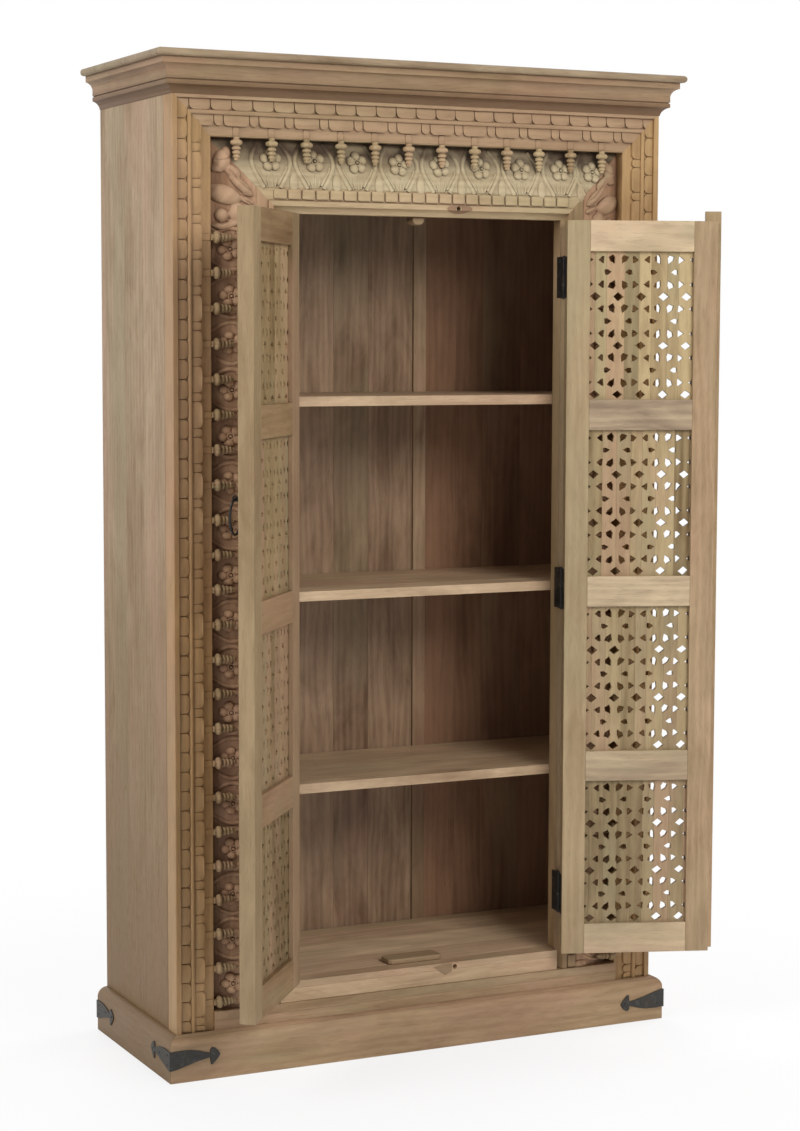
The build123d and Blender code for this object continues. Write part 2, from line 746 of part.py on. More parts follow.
def plinth_and_cornice():
    plinth = plinth_face(PLINTH_HEIGHT)
    plinth_side = run_side(plinth, PLINTH_BOARD)
    cornice = cornice_face()
    cornice_side = run_side(cornice, CORNICE_OVERHANG)
    straps = [strap(), rear_strap()]
    return {
        "plinth_front": [run_front(plinth, PLINTH_BOARD)],
        "plinth_sides": [flipped(plinth_side), plinth_side],
        "corner_straps": [flipped(iron) for iron in straps] + straps,
        "cornice_front": [run_front(cornice, CORNICE_OVERHANG)],
        "cornice_left": [flipped(cornice_side)],
        "cornice_right": [cornice_side],
        "crown_board": [crown_board()],
    }


def surround():
    outer = surround_stile(outer_face(), outer_inner_x, outer_inner_z, 0)
    frieze = surround_stile(frieze_face(), inner_outer_x, inner_outer_z, BOTTOM_RAIL)
    inner = inner_stile()
    column = bosses_side()
    full_depth = (front, behind_frame)
    return {
        "outer_stile_left": [flipped(outer)],
        "outer_stile_right": [outer],
        "outer_rail_top": [surround_head(outer_face(), outer_inner_x, outer_inner_z)],
        "outer_rail_bottom": [block((-outer_inner_x, outer_inner_x), full_depth, (0, BOTTOM_RAIL))],
        "head_rail": [block((-half_body, half_body), full_depth, (outer_top, crown_underside))],
        "frieze_left": [flipped(frieze)],
        "frieze_right": [frieze],
        "frieze_top": [surround_head(frieze_face(), inner_outer_x, inner_outer_z)],
        "inner_stile_left": [flipped(inner)],
        "inner_stile_right": [inner],
        "lintel": [lintel()],
        "sill": [sill()],
        "bosses_left": [flipped(piece) for piece in column],
        "bosses_right": column,
        "bosses_top": bosses_head(),
        "door_stops": door_stops(),
    }


def doors():
    fixed, moving, pins = hinge_sides()
    parts = {
        "hinge_leaves_fixed": [flipped(leaf) for leaf in fixed] + fixed,
        "hinge_pins": [flipped(pin) for pin in pins] + pins,
        "door_right_astragal": [opened(astragal(), "right")],
    }
    pieces = {
        "hinge_stile": [hinge_stile()],
        "free_stile": [free_stile()],
        "rails": door_rails(),
        "hinge_leaves": moving,
        "ring_eye": [ring_eye()],
        "ring": [ring()],
    }
    for i in range(PANELS_PER_DOOR):
        pieces["lattice_" + str(i + 1)] = [lattice_panel(i)]
    for hand in ("left", "right"):
        for name, solids in pieces.items():
            parts["door_" + hand + "_" + name] = [opened(solid, hand) for solid in solids]
    return parts


def main():
    os.makedirs("parts", exist_ok=True)
    for section in (carcass(), plinth_and_cornice(), surround(), doors()):
        for node, solids in section.items():
            export_step(group(solids), "parts/" + node + ".step")


main()
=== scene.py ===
import json
import math
import random

import bmesh
import bpy
from bpy.props import FloatProperty, FloatVectorProperty, IntProperty, PointerProperty
from mathutils import Matrix, Vector
from mathutils.bvhtree import BVHTree


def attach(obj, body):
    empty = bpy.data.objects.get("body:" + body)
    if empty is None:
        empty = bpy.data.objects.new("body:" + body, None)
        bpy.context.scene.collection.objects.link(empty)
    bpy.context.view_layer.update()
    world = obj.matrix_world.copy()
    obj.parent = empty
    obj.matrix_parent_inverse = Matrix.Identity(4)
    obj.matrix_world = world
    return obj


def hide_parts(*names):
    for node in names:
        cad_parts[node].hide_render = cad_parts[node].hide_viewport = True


bl_info = {
    "name": "Lattice Door Cabinet",
    "version": (1, 0, 0),
    "blender": (4, 5, 0),
    "location": "3D View > Sidebar > Cabinet",
    "description": "Carves, turns, pierces and finishes a hardwood cabinet over its joinery model",
    "category": "Object",
}

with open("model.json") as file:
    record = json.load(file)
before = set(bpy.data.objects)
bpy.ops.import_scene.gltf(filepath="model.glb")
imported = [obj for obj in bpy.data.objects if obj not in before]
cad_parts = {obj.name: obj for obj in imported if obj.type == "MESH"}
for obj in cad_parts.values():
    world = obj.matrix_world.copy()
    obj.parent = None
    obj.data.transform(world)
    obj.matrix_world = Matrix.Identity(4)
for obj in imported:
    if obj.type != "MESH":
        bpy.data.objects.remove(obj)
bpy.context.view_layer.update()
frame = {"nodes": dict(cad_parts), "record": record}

# Shapes are worked out in millimetres and become metres when a piece is finished.
MM = 0.001
X, Y, Z = (1, 0, 0), (0, 1, 0), (0, 0, 1)
BACK_X, BACK_Y, BACK_Z = (-1, 0, 0), (0, -1, 0), (0, 0, -1)
MIRROR = Matrix.Scale(-1, 4, X)

# Places on the joinery's right half, across and up from the middle of its foot.
FRONT = -176.25                 # front face of the carved surround
OUTER_EDGE = (413.0, 1657.0)    # inner corner of the outer frame
FRIEZE_EDGE = (329.0, 1573.0)   # inner corner of the frieze
OPENING_EDGE = (285.0, 1529.0)  # corner of the opening
PETAL_FOOT = 84                 # level at which the petals of the stiles stop
CARVING_FOOT = 115              # level at which the frieze's and the pearls' carving stops
HEAD_REACH = 490                # half length of the head's moulding before its mitres are cut
STILE_REACH = 76                # how far a stile's runs past the corner before its mitre is cut
HINGE_LEVELS = (266.5, 845.0, 1423.5)
HINGE_AXIS = (284, -177.75, 0)
RING_PLACE = (36, -188.25, 1012.5)
EYE_PLACE = (36, -173.25, 1043)

HEAD_FLOWERS = 8
HEAD_BOSSES = 12
SIDE_BOSSES = 23                # the corner leaf fills the two highest places
LOWEST_BOSS = 131
BOSS_DEPTH = FRONT + 5

SLOTS = {part["node"]: part["material_slot"] for part in frame["record"]["subparts"]}
BODIES = {node: body for body, nodes in frame["record"]["behaviour"]["bodies"].items() for node in nodes}
JOINTS = {joint["name"]: joint for joint in frame["record"]["behaviour"]["joints"]}


def colour(red, green, blue):
    """A colour from its everyday 0 to 255 values."""
    def straight(value):
        value /= 255
        return value / 12.92 if value <= 0.04045 else ((value + 0.055) / 1.055) ** 2.4
    return (straight(red), straight(green), straight(blue))


# ---------------------------------------------------------------- settings

def length(name, description, default):
    return FloatProperty(name=name, description=description, default=default, unit="LENGTH",
                         min=0.0, precision=4)


def tint(name, description, default):
    return FloatVectorProperty(name=name, description=description, default=default, subtype="COLOR",
                               size=3, min=0.0, max=1.0)


class CabinetCarving(bpy.types.PropertyGroup):
    """Sizes of the carved and turned ornament"""
    edge_round: length("Edge Rounding", "How far the arris of every board is rubbed round", 0.0009)
    petal_gap: length("Petal Gap", "Width of the cut between two petals", 0.0015)
    petal_pitch_top: length("Petal Pitch, Head", "Spacing of the outer row of petals on the head", 0.0395)
    petal_pitch_side: length("Petal Pitch, Stile", "Spacing of the outer row of petals on the stiles", 0.0344)
    boss_pitch_top: length("Boss Pitch, Head", "Spacing of the turned bosses under the head", 0.0666)
    boss_pitch_side: length("Boss Pitch, Stile", "Spacing of the turned bosses on the stiles", 0.0615)
    boss_sides: IntProperty(name="Boss Sides", description="How many sides each turned boss has",
                            default=14, min=8, max=32)
    flower_pitch: length("Flower Pitch", "Spacing of the flowers on the frieze's stiles", 0.0815)
    pearl_pitch: length("Pearl Pitch", "Spacing of the pearls on the inner frame", 0.0266)


class CabinetLattice(bpy.types.PropertyGroup):
    """Sizes of the pierced door panels"""
    column_pitch: length("Column Pitch", "Spacing of the holes across a panel", 0.0215)
    wander: length("Wander", "How far a hand-cut hole strays from its place", 0.0007)
    arris: length("Arris", "Rounding of the edges of each hole", 0.0004)


class CabinetFinish(bpy.types.PropertyGroup):
    """Colours that all the woods and the iron share"""
    blush: tint("Blush", "Pinkish patches in the wood", colour(178, 140, 116))
    olive: tint("Olive", "Greenish grey patches in the wood", colour(150, 138, 106))
    # Colour of the hollows: grime, and painted shade where they are closed in.
    dirt_and_shade: tint("Dirt And Shade", "What gathers in the hollows of the carving", colour(74, 46, 30))
    iron: tint("Iron", "Blackened iron", colour(40, 39, 38))


def settings(kind):
    return getattr(bpy.context.scene, kind)


# ---------------------------------------------------------------- shader building blocks

class Sheet:
    """A short way to write one tree of shader nodes."""

    def __init__(self, tree):
        self.tree = tree

    def node(self, kind, values=None, **options):
        made = self.tree.nodes.new(kind)
        for key, value in options.items():
            setattr(made, key, value)
        self.feed_all(made.inputs, values or {})
        return made

    def feed(self, socket, value):
        if isinstance(value, bpy.types.NodeSocket):
            self.tree.links.new(value, socket)
        elif socket.type == "RGBA" and len(value) == 3:
            socket.default_value = (*value, 1.0)
        else:
            socket.default_value = value

    def feed_all(self, sockets, values):
        for key, value in values.items():
            self.feed(sockets[key], value)

    def calc(self, operation, first, second, third=0.5, clamp=False):
        made = self.node("ShaderNodeMath", {0: first, 1: second, 2: third}, operation=operation,
                         use_clamp=clamp)
        return made.outputs[0]

    def plus(self, first, second):
        return self.calc("ADD", first, second)

    def times(self, first, second):
        return self.calc("MULTIPLY", first, second)

    def sway(self, value, share, onto, clamp=False):
        """Onto one value, add a share of how far another one lies from a half."""
        return self.calc("MULTIPLY_ADD", self.calc("SUBTRACT", value, 0.5), share, onto, clamp)

    def vector(self, operation, first, second):
        made = self.node("ShaderNodeVectorMath", {0: first, 1: second}, operation=operation)
        return made.outputs["Value"] if operation == "DOT_PRODUCT" else made.outputs["Vector"]

    def joined(self, **parts):
        return self.node("ShaderNodeCombineXYZ", parts).outputs[0]

    def blend(self, factor, first, second, kind="MIX"):
        made = self.node("ShaderNodeMix", {0: factor, 6: first, 7: second}, data_type="RGBA", blend_type=kind,
                         clamp_factor=True)
        return made.outputs[2]

    def window(self, value, low, high, bottom=0.0, top=1.0):
        made = self.node("ShaderNodeMapRange", {"Value": value, "From Min": low, "From Max": high,
                                                "To Min": bottom, "To Max": top},
                         interpolation_type="SMOOTHSTEP")
        return made.outputs["Result"]

    def noise(self, vector, scale, detail, rough=0.55, warp=0.0):
        made = self.node("ShaderNodeTexNoise", {"Vector": vector, "Scale": scale, "Detail": detail,
                                                "Roughness": rough, "Distortion": warp})
        return made.outputs["Fac"]

    def group(self, tree, values):
        made = self.node("ShaderNodeGroup", node_tree=tree)
        self.feed_all(made.inputs, values)
        return made.outputs


SOCKETS = {"colour": "NodeSocketColor", "value": "NodeSocketFloat", "vector": "NodeSocketVector"}


def shared_group(name, inputs, outputs):
    """Turn a function that fills a node group into one that hands the group over, built only once."""
    def wrap(fill):
        def group():
            if name not in bpy.data.node_groups:
                tree = bpy.data.node_groups.new(name, "ShaderNodeTree")
                for title, kind, default in inputs:
                    socket = tree.interface.new_socket(title, in_out="INPUT", socket_type=SOCKETS[kind])
                    if default is not None:
                        socket.default_value = (*default, 1.0) if kind == "colour" else default
                for title, kind in outputs:
                    tree.interface.new_socket(title, in_out="OUTPUT", socket_type=SOCKETS[kind])
                given = tree.nodes.new("NodeGroupInput").outputs
                sheet = Sheet(tree)
                sheet.feed_all(tree.nodes.new("NodeGroupOutput").inputs, fill(sheet, given))
            return bpy.data.node_groups[name]
        return group
    return wrap


@shared_group("Glued Wood", [
    ("Position", "vector", None), ("Across", "vector", X), ("Through", "vector", Y), ("Along", "vector", Z),
    ("Strip", "value", 0.06), ("Seed", "value", 0.0),
    ("Light", "colour", (0.5, 0.4, 0.3)), ("Dark", "colour", (0.2, 0.1, 0.05)),
    ("Pink", "colour", (0.5, 0.3, 0.2)), ("Green", "colour", (0.3, 0.3, 0.1)),
    ("Contrast", "value", 0.5), ("Blush", "value", 0.5), ("Moss", "value", 0.5), ("Streaks", "value", 0.5),
    ("Uneven", "value", 0.75),
], [("Color", "colour"), ("Roughness", "value"), ("Height", "value")])
def glued_wood_group(sheet, given):
    """Open-grained hardwood glued up from strips, with the grain along one direction."""
    across, through, along = (sheet.vector("DOT_PRODUCT", given["Position"], given[way])
                              for way in ("Across", "Through", "Along"))
    # Every strip draws three lucky numbers of its own.
    board = {"W": sheet.plus(sheet.calc("DIVIDE", across, given["Strip"]), sheet.times(given["Seed"], 7.31)),
             "Scale": 1.0, "Randomness": given["Uneven"]}
    cell = sheet.node("ShaderNodeTexVoronoi", board, voronoi_dimensions="1D")
    edge = sheet.node("ShaderNodeTexVoronoi", board, voronoi_dimensions="1D", feature="DISTANCE_TO_EDGE")
    luck = sheet.node("ShaderNodeSeparateColor", {"Color": cell.outputs["Color"]}).outputs
    joint = sheet.window(sheet.times(edge.outputs["Distance"], given["Strip"]), 0.0, 0.0008, 1.0, 0.0)

    shifted = sheet.joined(X=sheet.plus(across, sheet.times(luck[0], 3.1)),
                           Y=sheet.plus(through, sheet.plus(luck[1], sheet.times(given["Seed"], 1.7))),
                           Z=sheet.plus(along, sheet.times(luck[2], 5.3)))

    def drawn(share):
        """The place in the wood, with the length of the grain drawn out."""
        return sheet.vector("MULTIPLY", shifted, (1.0, 1.0, share))

    drift = sheet.noise(drawn(0.25), 7.0, 2.0)
    aside = sheet.joined(X=sheet.times(drift, 0.055), Y=sheet.times(drift, 0.03))
    swaying = sheet.vector("ADD", drawn(0.085), aside)
    figure = sheet.noise(swaying, 34.0, 5.0, 0.62, 0.4)
    rings = sheet.node("ShaderNodeTexWave", {"Vector": swaying, "Scale": 21.0, "Distortion": 7.0,
                                             "Detail": 3.0, "Detail Scale": 1.3, "Detail Roughness": 0.6},
                       wave_type="BANDS", bands_direction="X").outputs["Fac"]
    fine = sheet.noise(drawn(0.02), 420.0, 3.0, 0.6)
    pores = sheet.window(sheet.noise(drawn(0.045), 880.0, 1.0), 0.6, 0.7)
    cloud = sheet.noise(drawn(0.33), 6.5, 3.0, 0.55, 0.6)
    bank = sheet.noise(sheet.vector("ADD", drawn(0.28), (4.1, 9.7, 2.3)), 8.0, 3.0, 0.55, 0.5)
    mottle = sheet.noise(drawn(0.3), 19.0, 4.0, 0.6, 0.8)
    stroke = sheet.window(sheet.noise(sheet.vector("ADD", drawn(0.03), (7.7, 1.9, 0.4)), 60.0, 2.0, 0.5, 0.3),
                          0.58, 0.74)

    tone = sheet.sway(luck[0], given["Contrast"], 0.62)
    tone = sheet.sway(mottle, 1.5, tone)
    tone = sheet.sway(figure, 0.75, tone)
    tone = sheet.sway(rings, 0.2, tone)
    tone = sheet.sway(fine, 0.18, tone, clamp=True)
    pink = sheet.window(sheet.sway(luck[1], 0.34, cloud), 0.44, 0.64)
    green = sheet.window(sheet.sway(luck[2], 0.3, bank), 0.5, 0.68)
    shade = sheet.blend(tone, given["Dark"], given["Light"])
    for mask, share, over in ((pink, given["Blush"], given["Pink"]), (green, given["Moss"], given["Green"]),
                              (stroke, given["Streaks"], given["Dark"]), (pores, 0.22, given["Dark"]),
                              (joint, 0.55, given["Dark"])):
        shade = sheet.blend(sheet.times(mask, share), shade, over)
    height = sheet.calc("MULTIPLY_ADD", pores, -0.8, sheet.times(fine, 0.6))
    height = sheet.calc("MULTIPLY_ADD", joint, -0.9, sheet.calc("MULTIPLY_ADD", figure, 0.5, height))
    rough = sheet.calc("MULTIPLY_ADD", sheet.calc("SUBTRACT", pores, fine), 0.18, 0.56)
    return {"Color": shade, "Roughness": rough, "Height": height}


@shared_group("Grime Shade And Wear", [
    ("Color", "colour", (0.5, 0.4, 0.3)), ("Openness", "value", 1.0), ("Dirt And Shade", "colour", (0.1, 0.05, 0.02)),
    ("Depth", "value", 0.8), ("Rub", "value", 0.15), ("Position", "vector", None), ("Channel", "value", 0.0),
], [("Color", "colour"), ("Roughness", "value")])
def grime_shade_wear_group(sheet, given):
    """Grime and painted shade in the hollows, and rubbed, paler high places, from how open the surface is;
    the channel of the frieze, which lies deeper than the carving, takes more painted shade."""
    patchy = sheet.noise(given["Position"], 26.0, 3.0)
    # Grime and painted shade: the more closed in the surface is, the darker it gets.
    closed = sheet.window(sheet.sway(patchy, 0.2, given["Openness"]), 0.12, 0.86, 1.0, 0.0)
    # Painted shade: the deep channel of the frieze darkens in patches, by its own share.
    sunk = sheet.window(sheet.vector("DOT_PRODUCT", given["Position"], Y), -0.168, -0.1555)
    sunk = sheet.times(sunk, sheet.window(sheet.noise(given["Position"], 21.0, 2.0), 0.3, 0.6, 0.5, 1.0))
    closed = sheet.calc("MAXIMUM", closed, sheet.times(sunk, given["Channel"]))
    shade = sheet.blend(sheet.times(closed, given["Depth"]), given["Color"], given["Dirt And Shade"])
    rubbed = sheet.window(sheet.plus(given["Openness"], sheet.times(patchy, 0.25)), 1.0, 1.2)
    shade = sheet.blend(sheet.times(rubbed, given["Rub"]), shade, (1.0, 0.93, 0.8), "SOFT_LIGHT")
    return {"Color": shade, "Roughness": sheet.calc("MULTIPLY_ADD", closed, 0.22, 0.5)}


@shared_group("Forged Iron", [
    ("Position", "vector", None), ("Base", "colour", (0.02, 0.02, 0.02)),
    ("Bloom", "colour", (0.08, 0.05, 0.03)), ("Worn", "colour", (0.2, 0.2, 0.19)),
], [("Color", "colour"), ("Roughness", "value"), ("Height", "value")])
def forged_iron_group(sheet, given):
    """Blackened iron with hammer marks and brown bloom."""
    dents = sheet.noise(given["Position"], 120.0, 2.0, 0.45)
    grit = sheet.noise(given["Position"], 700.0, 3.0, 0.6)
    cloud = sheet.noise(given["Position"], 38.0, 4.0, 0.6)
    shade = sheet.blend(sheet.window(cloud, 0.5, 0.72, 0.0, 0.6), given["Base"], given["Bloom"])
    shade = sheet.blend(sheet.window(dents, 0.55, 0.75, 0.0, 0.5), shade, given["Worn"])
    return {"Color": shade, "Roughness": sheet.calc("MULTIPLY_ADD", grit, 0.3, 0.36),
            "Height": sheet.calc("MULTIPLY_ADD", grit, 0.25, dents)}


# What sets one wood apart from another.
TRAITS = ("strip", "contrast", "blush", "moss", "streaks", "light", "dark")
WOODS = {
    "side": (0.105, 0.5, 0.4, 0.5, 0.18, (172, 148, 118), (118, 94, 66)),
    # The inside boards are pale, partly painted light for the light that reaches into the case.
    "inner": (0.12, 0.35, 0.35, 0.3, 0.25, (212, 184, 150), (150, 122, 94)),
    "back": (0.08, 0.9, 0.2, 0.35, 0.12, (174, 146, 118), (102, 76, 56)),
    "plain": (0.16, 0.3, 0.4, 0.35, 0.2, (174, 146, 112), (122, 96, 66)),
    "moulded": (0.3, 0.25, 0.35, 0.4, 0.3, (156, 130, 98), (104, 80, 56)),
    "carved": (0.2, 0.3, 0.35, 0.15, 0.15, (186, 148, 106), (142, 108, 72)),
    "frieze": (0.2, 0.3, 0.2, 0.35, 0.1, (190, 174, 142), (144, 124, 92)),
    "turned": (0.05, 0.3, 0.3, 0.3, 0.2, (166, 142, 108), (114, 88, 60)),
    "door": (0.3, 0.3, 0.35, 0.45, 0.12, (176, 154, 120), (132, 108, 78)),
    "lattice": (0.027, 0.7, 0.45, 0.5, 0.1, (186, 166, 122), (116, 94, 62)),
}


def new_material(name):
    """A material, its sheet, its shader and the place on the object."""
    material = bpy.data.materials.new(name)
    material.use_nodes = True
    sheet = Sheet(material.node_tree)
    shader = material.node_tree.nodes["Principled BSDF"]
    return material, sheet, shader, sheet.node("ShaderNodeTexCoord").outputs["Object"]


def dressed(sheet, shader, shade, rough, height, distance, strength):
    """Give a shader its colour, its roughness and its relief."""
    relief = sheet.node("ShaderNodeBump", {"Height": height, "Distance": distance, "Strength": strength})
    sheet.feed_all(shader.inputs, {"Base Color": shade, "Roughness": rough,
                                   "Normal": relief.outputs["Normal"]})


def timber(title, wood, along, across, seed, hollows=0.0, reach=0.012, alone=True, channel=0.0, dirt_and_shade=None,
           foot=None, bump=0.00045, **changes):
    """A wood material: which wood, where its grain runs, and how much grime and painted shade its hollows
    hold.

    Grime and painted shade gather where the surface is closed in within a reach, by the piece alone or by all
    of them. Towards its foot the wood darkens: by a share, between two levels; on the side boards, the
    plinth's sides and the cornice this is painted shade.
    """
    name = "Wood " + title.replace("_", " ")
    if name in bpy.data.materials:
        return bpy.data.materials[name]
    finish = settings("cabinet_finish")
    recipe = {"uneven": 0.75, **dict(zip(TRAITS, WOODS[wood])), **changes}
    light, dark = colour(*recipe["light"]), colour(*recipe["dark"])
    material, sheet, shader, position = new_material(name)
    along, across = Vector(along).normalized(), Vector(across).normalized()
    values = {"Position": position, "Across": across, "Along": along, "Through": along.cross(across),
              "Seed": seed, "Light": light, "Dark": dark, "Pink": finish.blush, "Green": finish.olive}
    for key in ("strip", "contrast", "blush", "moss", "streaks", "uneven"):
        values[key.title()] = recipe[key]
    grown = sheet.group(glued_wood_group(), values)
    shade, rough = grown["Color"], grown["Roughness"]
    if foot:
        share, low, high = foot
        level = sheet.vector("DOT_PRODUCT", position, Z)
        # Darker towards the foot: painted shade on the side boards, the plinth's sides and the cornice.
        shade = sheet.blend(sheet.window(level, low, high, share, 0.0), shade, dark)
    if hollows:
        # Grime and painted shade in the hollows, from how closed in the surface is.
        openness = sheet.node("ShaderNodeAmbientOcclusion", {"Distance": reach}, samples=6, only_local=alone)
        grimed_shaded = sheet.group(grime_shade_wear_group(), {
            "Color": shade, "Openness": openness.outputs["AO"], "Depth": hollows, "Channel": channel,
            "Dirt And Shade": colour(*dirt_and_shade) if dirt_and_shade else finish.dirt_and_shade, "Position": position})
        shade, rough = grimed_shaded["Color"], grimed_shaded["Roughness"]
    dressed(sheet, shader, shade, rough, grown["Height"], bump, 0.7)
    shader.inputs["Specular IOR Level"].default_value = 0.35
    return material


def iron(name="Blackened Iron", base=None):
    if name in bpy.data.materials:
        return bpy.data.materials[name]
    material, sheet, shader, position = new_material(name)
    forged = sheet.group(forged_iron_group(), {
        "Position": position, "Base": base or settings("cabinet_finish").iron,
        "Bloom": colour(74, 60, 50), "Worn": colour(96, 95, 92)})
    dressed(sheet, shader, forged["Color"], forged["Roughness"], forged["Height"], 0.0006, 0.6)
    shader.inputs["Metallic"].default_value = 0.55
    return material


# ---------------------------------------------------------------- making pieces

def mesh_of(bm, name):
    """Turn a shape into a mesh and let go of it."""
    mesh = bpy.data.meshes.new(name)
    bm.to_mesh(mesh)
    bm.free()
    return mesh


def linked(name, data):
    """Put a new object in the scene."""
    holder = bpy.data.objects.new(name, data)
    bpy.context.scene.collection.objects.link(holder)
    return holder


def shaded(name, mesh, node, material, replaced, crease):
    """Put a finished mesh in the scene, smooth it between its creases and tie it to its node's body."""
    mesh.name = name
    mesh.shade_smooth()
    mesh.set_sharp_from_angle(angle=math.radians(crease))
    piece = linked(name, mesh)
    mesh.materials.clear()
    mesh.materials.append(material)
    body, slot = BODIES[node], SLOTS[node]
    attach(piece, body)
    if replaced:
        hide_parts(*replaced)
    return piece


def finished(name, bm, node, material, crease, replaced=()):
    """Turn a shape in millimetres into a piece that goes with a CAD node."""
    bmesh.ops.scale(bm, vec=(MM, MM, MM), verts=bm.verts)
    return shaded(name, mesh_of(bm, name), node, material, replaced, crease)


def stand_in(node, kind, bm, material, crease):
    """Finish a shape that takes the place of its CAD node."""
    return finished(node + kind, bm, node, material, crease, (node,))


def pair(name, bm, node, materials, crease, stands=False, hands=("right", "left")):
    """Finish a right-hand shape and its mirror image; the names have a gap for the hand."""
    for hand in hands:
        side = placed(bm.copy(), MIRROR) if hand == "left" else bm.copy()
        finished(name % hand, side, node % hand, materials[hand], crease, (node % hand,) if stands else ())
    bm.free()


def placed(bm, matrix):
    """Move a shape, and turn its faces back outwards where the move mirrors it."""
    bmesh.ops.transform(bm, matrix=matrix, verts=bm.verts)
    if matrix.determinant() < 0:
        bmesh.ops.reverse_faces(bm, faces=bm.faces)
    return bm


def add_shape(target, bm, matrix=None):
    """Join a shape to another one."""
    if matrix is not None:
        placed(bm, matrix)
    held = mesh_of(bm, "held")
    target.from_mesh(held)
    bpy.data.meshes.remove(held)


def of_kind(kind, geometry):
    """The vertices, edges or faces among some geometry."""
    return [part for part in geometry if isinstance(part, kind)]


def outward(bm):
    """Turn all the faces of a shape outwards."""
    bmesh.ops.recalc_face_normals(bm, faces=bm.faces)
    return bm


def thickened(bm, faces, way):
    """Draw flat faces out into a solid."""
    drawn = bmesh.ops.extrude_face_region(bm, geom=faces)["geom"]
    bmesh.ops.translate(bm, vec=way, verts=of_kind(bmesh.types.BMVert, drawn))
    return outward(bm)


def plate(outline, way):
    """A flat outline drawn out into a solid."""
    bm = bmesh.new()
    return thickened(bm, [bm.faces.new([bm.verts.new(point) for point in outline])], way)


def slab(low, high, bevel=0.0, segments=2):
    """A block between two corners, with its edges rounded."""
    bm = bmesh.new()
    size = [b - a for a, b in zip(low, high)]
    middle = [(a + b) / 2 for a, b in zip(low, high)]
    bmesh.ops.create_cube(bm, size=1.0, matrix=Matrix.Translation(middle) @ Matrix.Diagonal((*size, 1)))
    if bevel:
        bmesh.ops.bevel(bm, geom=bm.edges[:], offset=bevel, segments=segments, profile=0.5, affect="EDGES",
                        material=-1)
    return bm


def bisected(bm, point, normal):
    """Take away what lies beyond a plane."""
    return bmesh.ops.bisect_plane(bm, geom=bm.verts[:] + bm.edges[:] + bm.faces[:], dist=1e-4, plane_co=point,
                                  plane_no=normal, clear_outer=True)["geom_cut"]


def cut(bm, point, normal):
    """Take away what lies beyond a plane and close the cut."""
    rim = of_kind(bmesh.types.BMEdge, bisected(bm, point, normal))
    if rim:
        bmesh.ops.holes_fill(bm, edges=rim, sides=0)
    return bm


def spun(bm, axis, steps):
    """Swing an outline once round an axis."""
    bmesh.ops.spin(bm, geom=bm.verts[:] + bm.edges[:], cent=(0, 0, 0), axis=axis, angle=math.tau, steps=steps,
                   use_merge=True)
    bmesh.ops.remove_doubles(bm, verts=bm.verts, dist=0.01)
    return outward(bm)


def turned(profile, steps):
    """A shape turned about X from points of place and radius; closed at both ends."""
    bm = bmesh.new()
    points = [bm.verts.new((place, 0, radius)) for place, radius in profile]
    for first, second in zip(points, points[1:]):
        bm.edges.new((first, second))
    return spun(bm, X, steps)


def taken_from(holder, seen=None):
    """The shape that an object's curve or modifiers make; the object and its data go."""
    mesh = bpy.data.meshes.new_from_object(seen or holder)
    bm = bmesh.new()
    bm.from_mesh(mesh)
    store, data = bpy.data.meshes if holder.type == "MESH" else bpy.data.curves, holder.data
    bpy.data.objects.remove(holder)
    store.remove(data)
    bpy.data.meshes.remove(mesh)
    return bm


def strands(paths):
    """Rounded ridges along smooth lines; each point is its place and its radius."""
    line = bpy.data.curves.new("strands", "CURVE")
    line.dimensions = "3D"
    line.bevel_depth = 1.0
    line.bevel_resolution = 1
    line.resolution_u = 3
    line.use_fill_caps = True
    for path in paths:
        spline = line.splines.new("NURBS")
        spline.points.add(len(path) - 1)
        for point, (x, y, z, radius) in zip(spline.points, path):
            point.co = (x, y, z, 1.0)
            point.radius = radius
        spline.order_u = min(4, len(path))
        spline.use_endpoint_u = True
    return outward(taken_from(bpy.data.objects.new("strands", line)))


def turn(degrees, axis="Z"):
    return Matrix.Rotation(math.radians(degrees), 4, axis)


UPENDED = turn(-90, "Y")        # lays X along Z


def stood(place, along=X, outwards=Z, forwards=BACK_Y):
    """Stands a flat relief up at a place: the ways its X, its Y and its height go."""
    return Matrix.Translation(place) @ Matrix((along, outwards, forwards)).transposed().to_4x4()


def along_head(edge_z):
    """Where the head of the surround lies: along it is +X, outwards +Z, forwards -Y."""
    return stood((0, FRONT, edge_z))


def along_stile(edge_x, edge_z):
    """Where the right stile lies: along it is down from the corner, outwards +X, forwards -Y."""
    return stood((edge_x, FRONT, edge_z), BACK_Z, X)


class Ground:
    """The carved-in surface of some CAD nodes, seen from the front."""

    def __init__(self, *nodes):
        bm = bmesh.new()
        for name in nodes:
            bm.from_mesh(frame["nodes"][name].data)
        self.tree = BVHTree.FromBMesh(bm)
        bm.free()

    def drape(self, bm, matrix):
        """Lay a flat relief, of along, outwards and height, on the surface."""
        # A place beside the surface takes the depth of the one before it.
        last = FRONT + 20
        for vert in bm.verts:
            height = vert.co.z
            spot = matrix @ Vector((vert.co.x, vert.co.y, 0))
            hit = self.tree.ray_cast(Vector((spot.x * MM, -1.0, spot.z * MM)), Vector(Y))[0]
            last = hit.y / MM if hit else last
            vert.co = (spot.x, last - height, spot.z)
        if matrix.to_3x3().determinant() < 0:
            bmesh.ops.reverse_faces(bm, faces=bm.faces)
        return bm


def door_place(hand):
    """Matrix from a shut right-hand door to where this door stands."""
    joint = JOINTS["door_%s_hinge" % hand]
    pivot = Vector((abs(joint["pos_m"][0]), joint["pos_m"][1], 0)) / MM
    swing = Matrix.Translation(pivot) @ turn(-joint["range_deg"][0]) @ Matrix.Translation(-pivot)
    return swing if hand == "right" else MIRROR @ swing


def door_across(hand):
    """Direction across a standing door."""
    return (door_place(hand).to_3x3() @ Vector(X)).normalized()


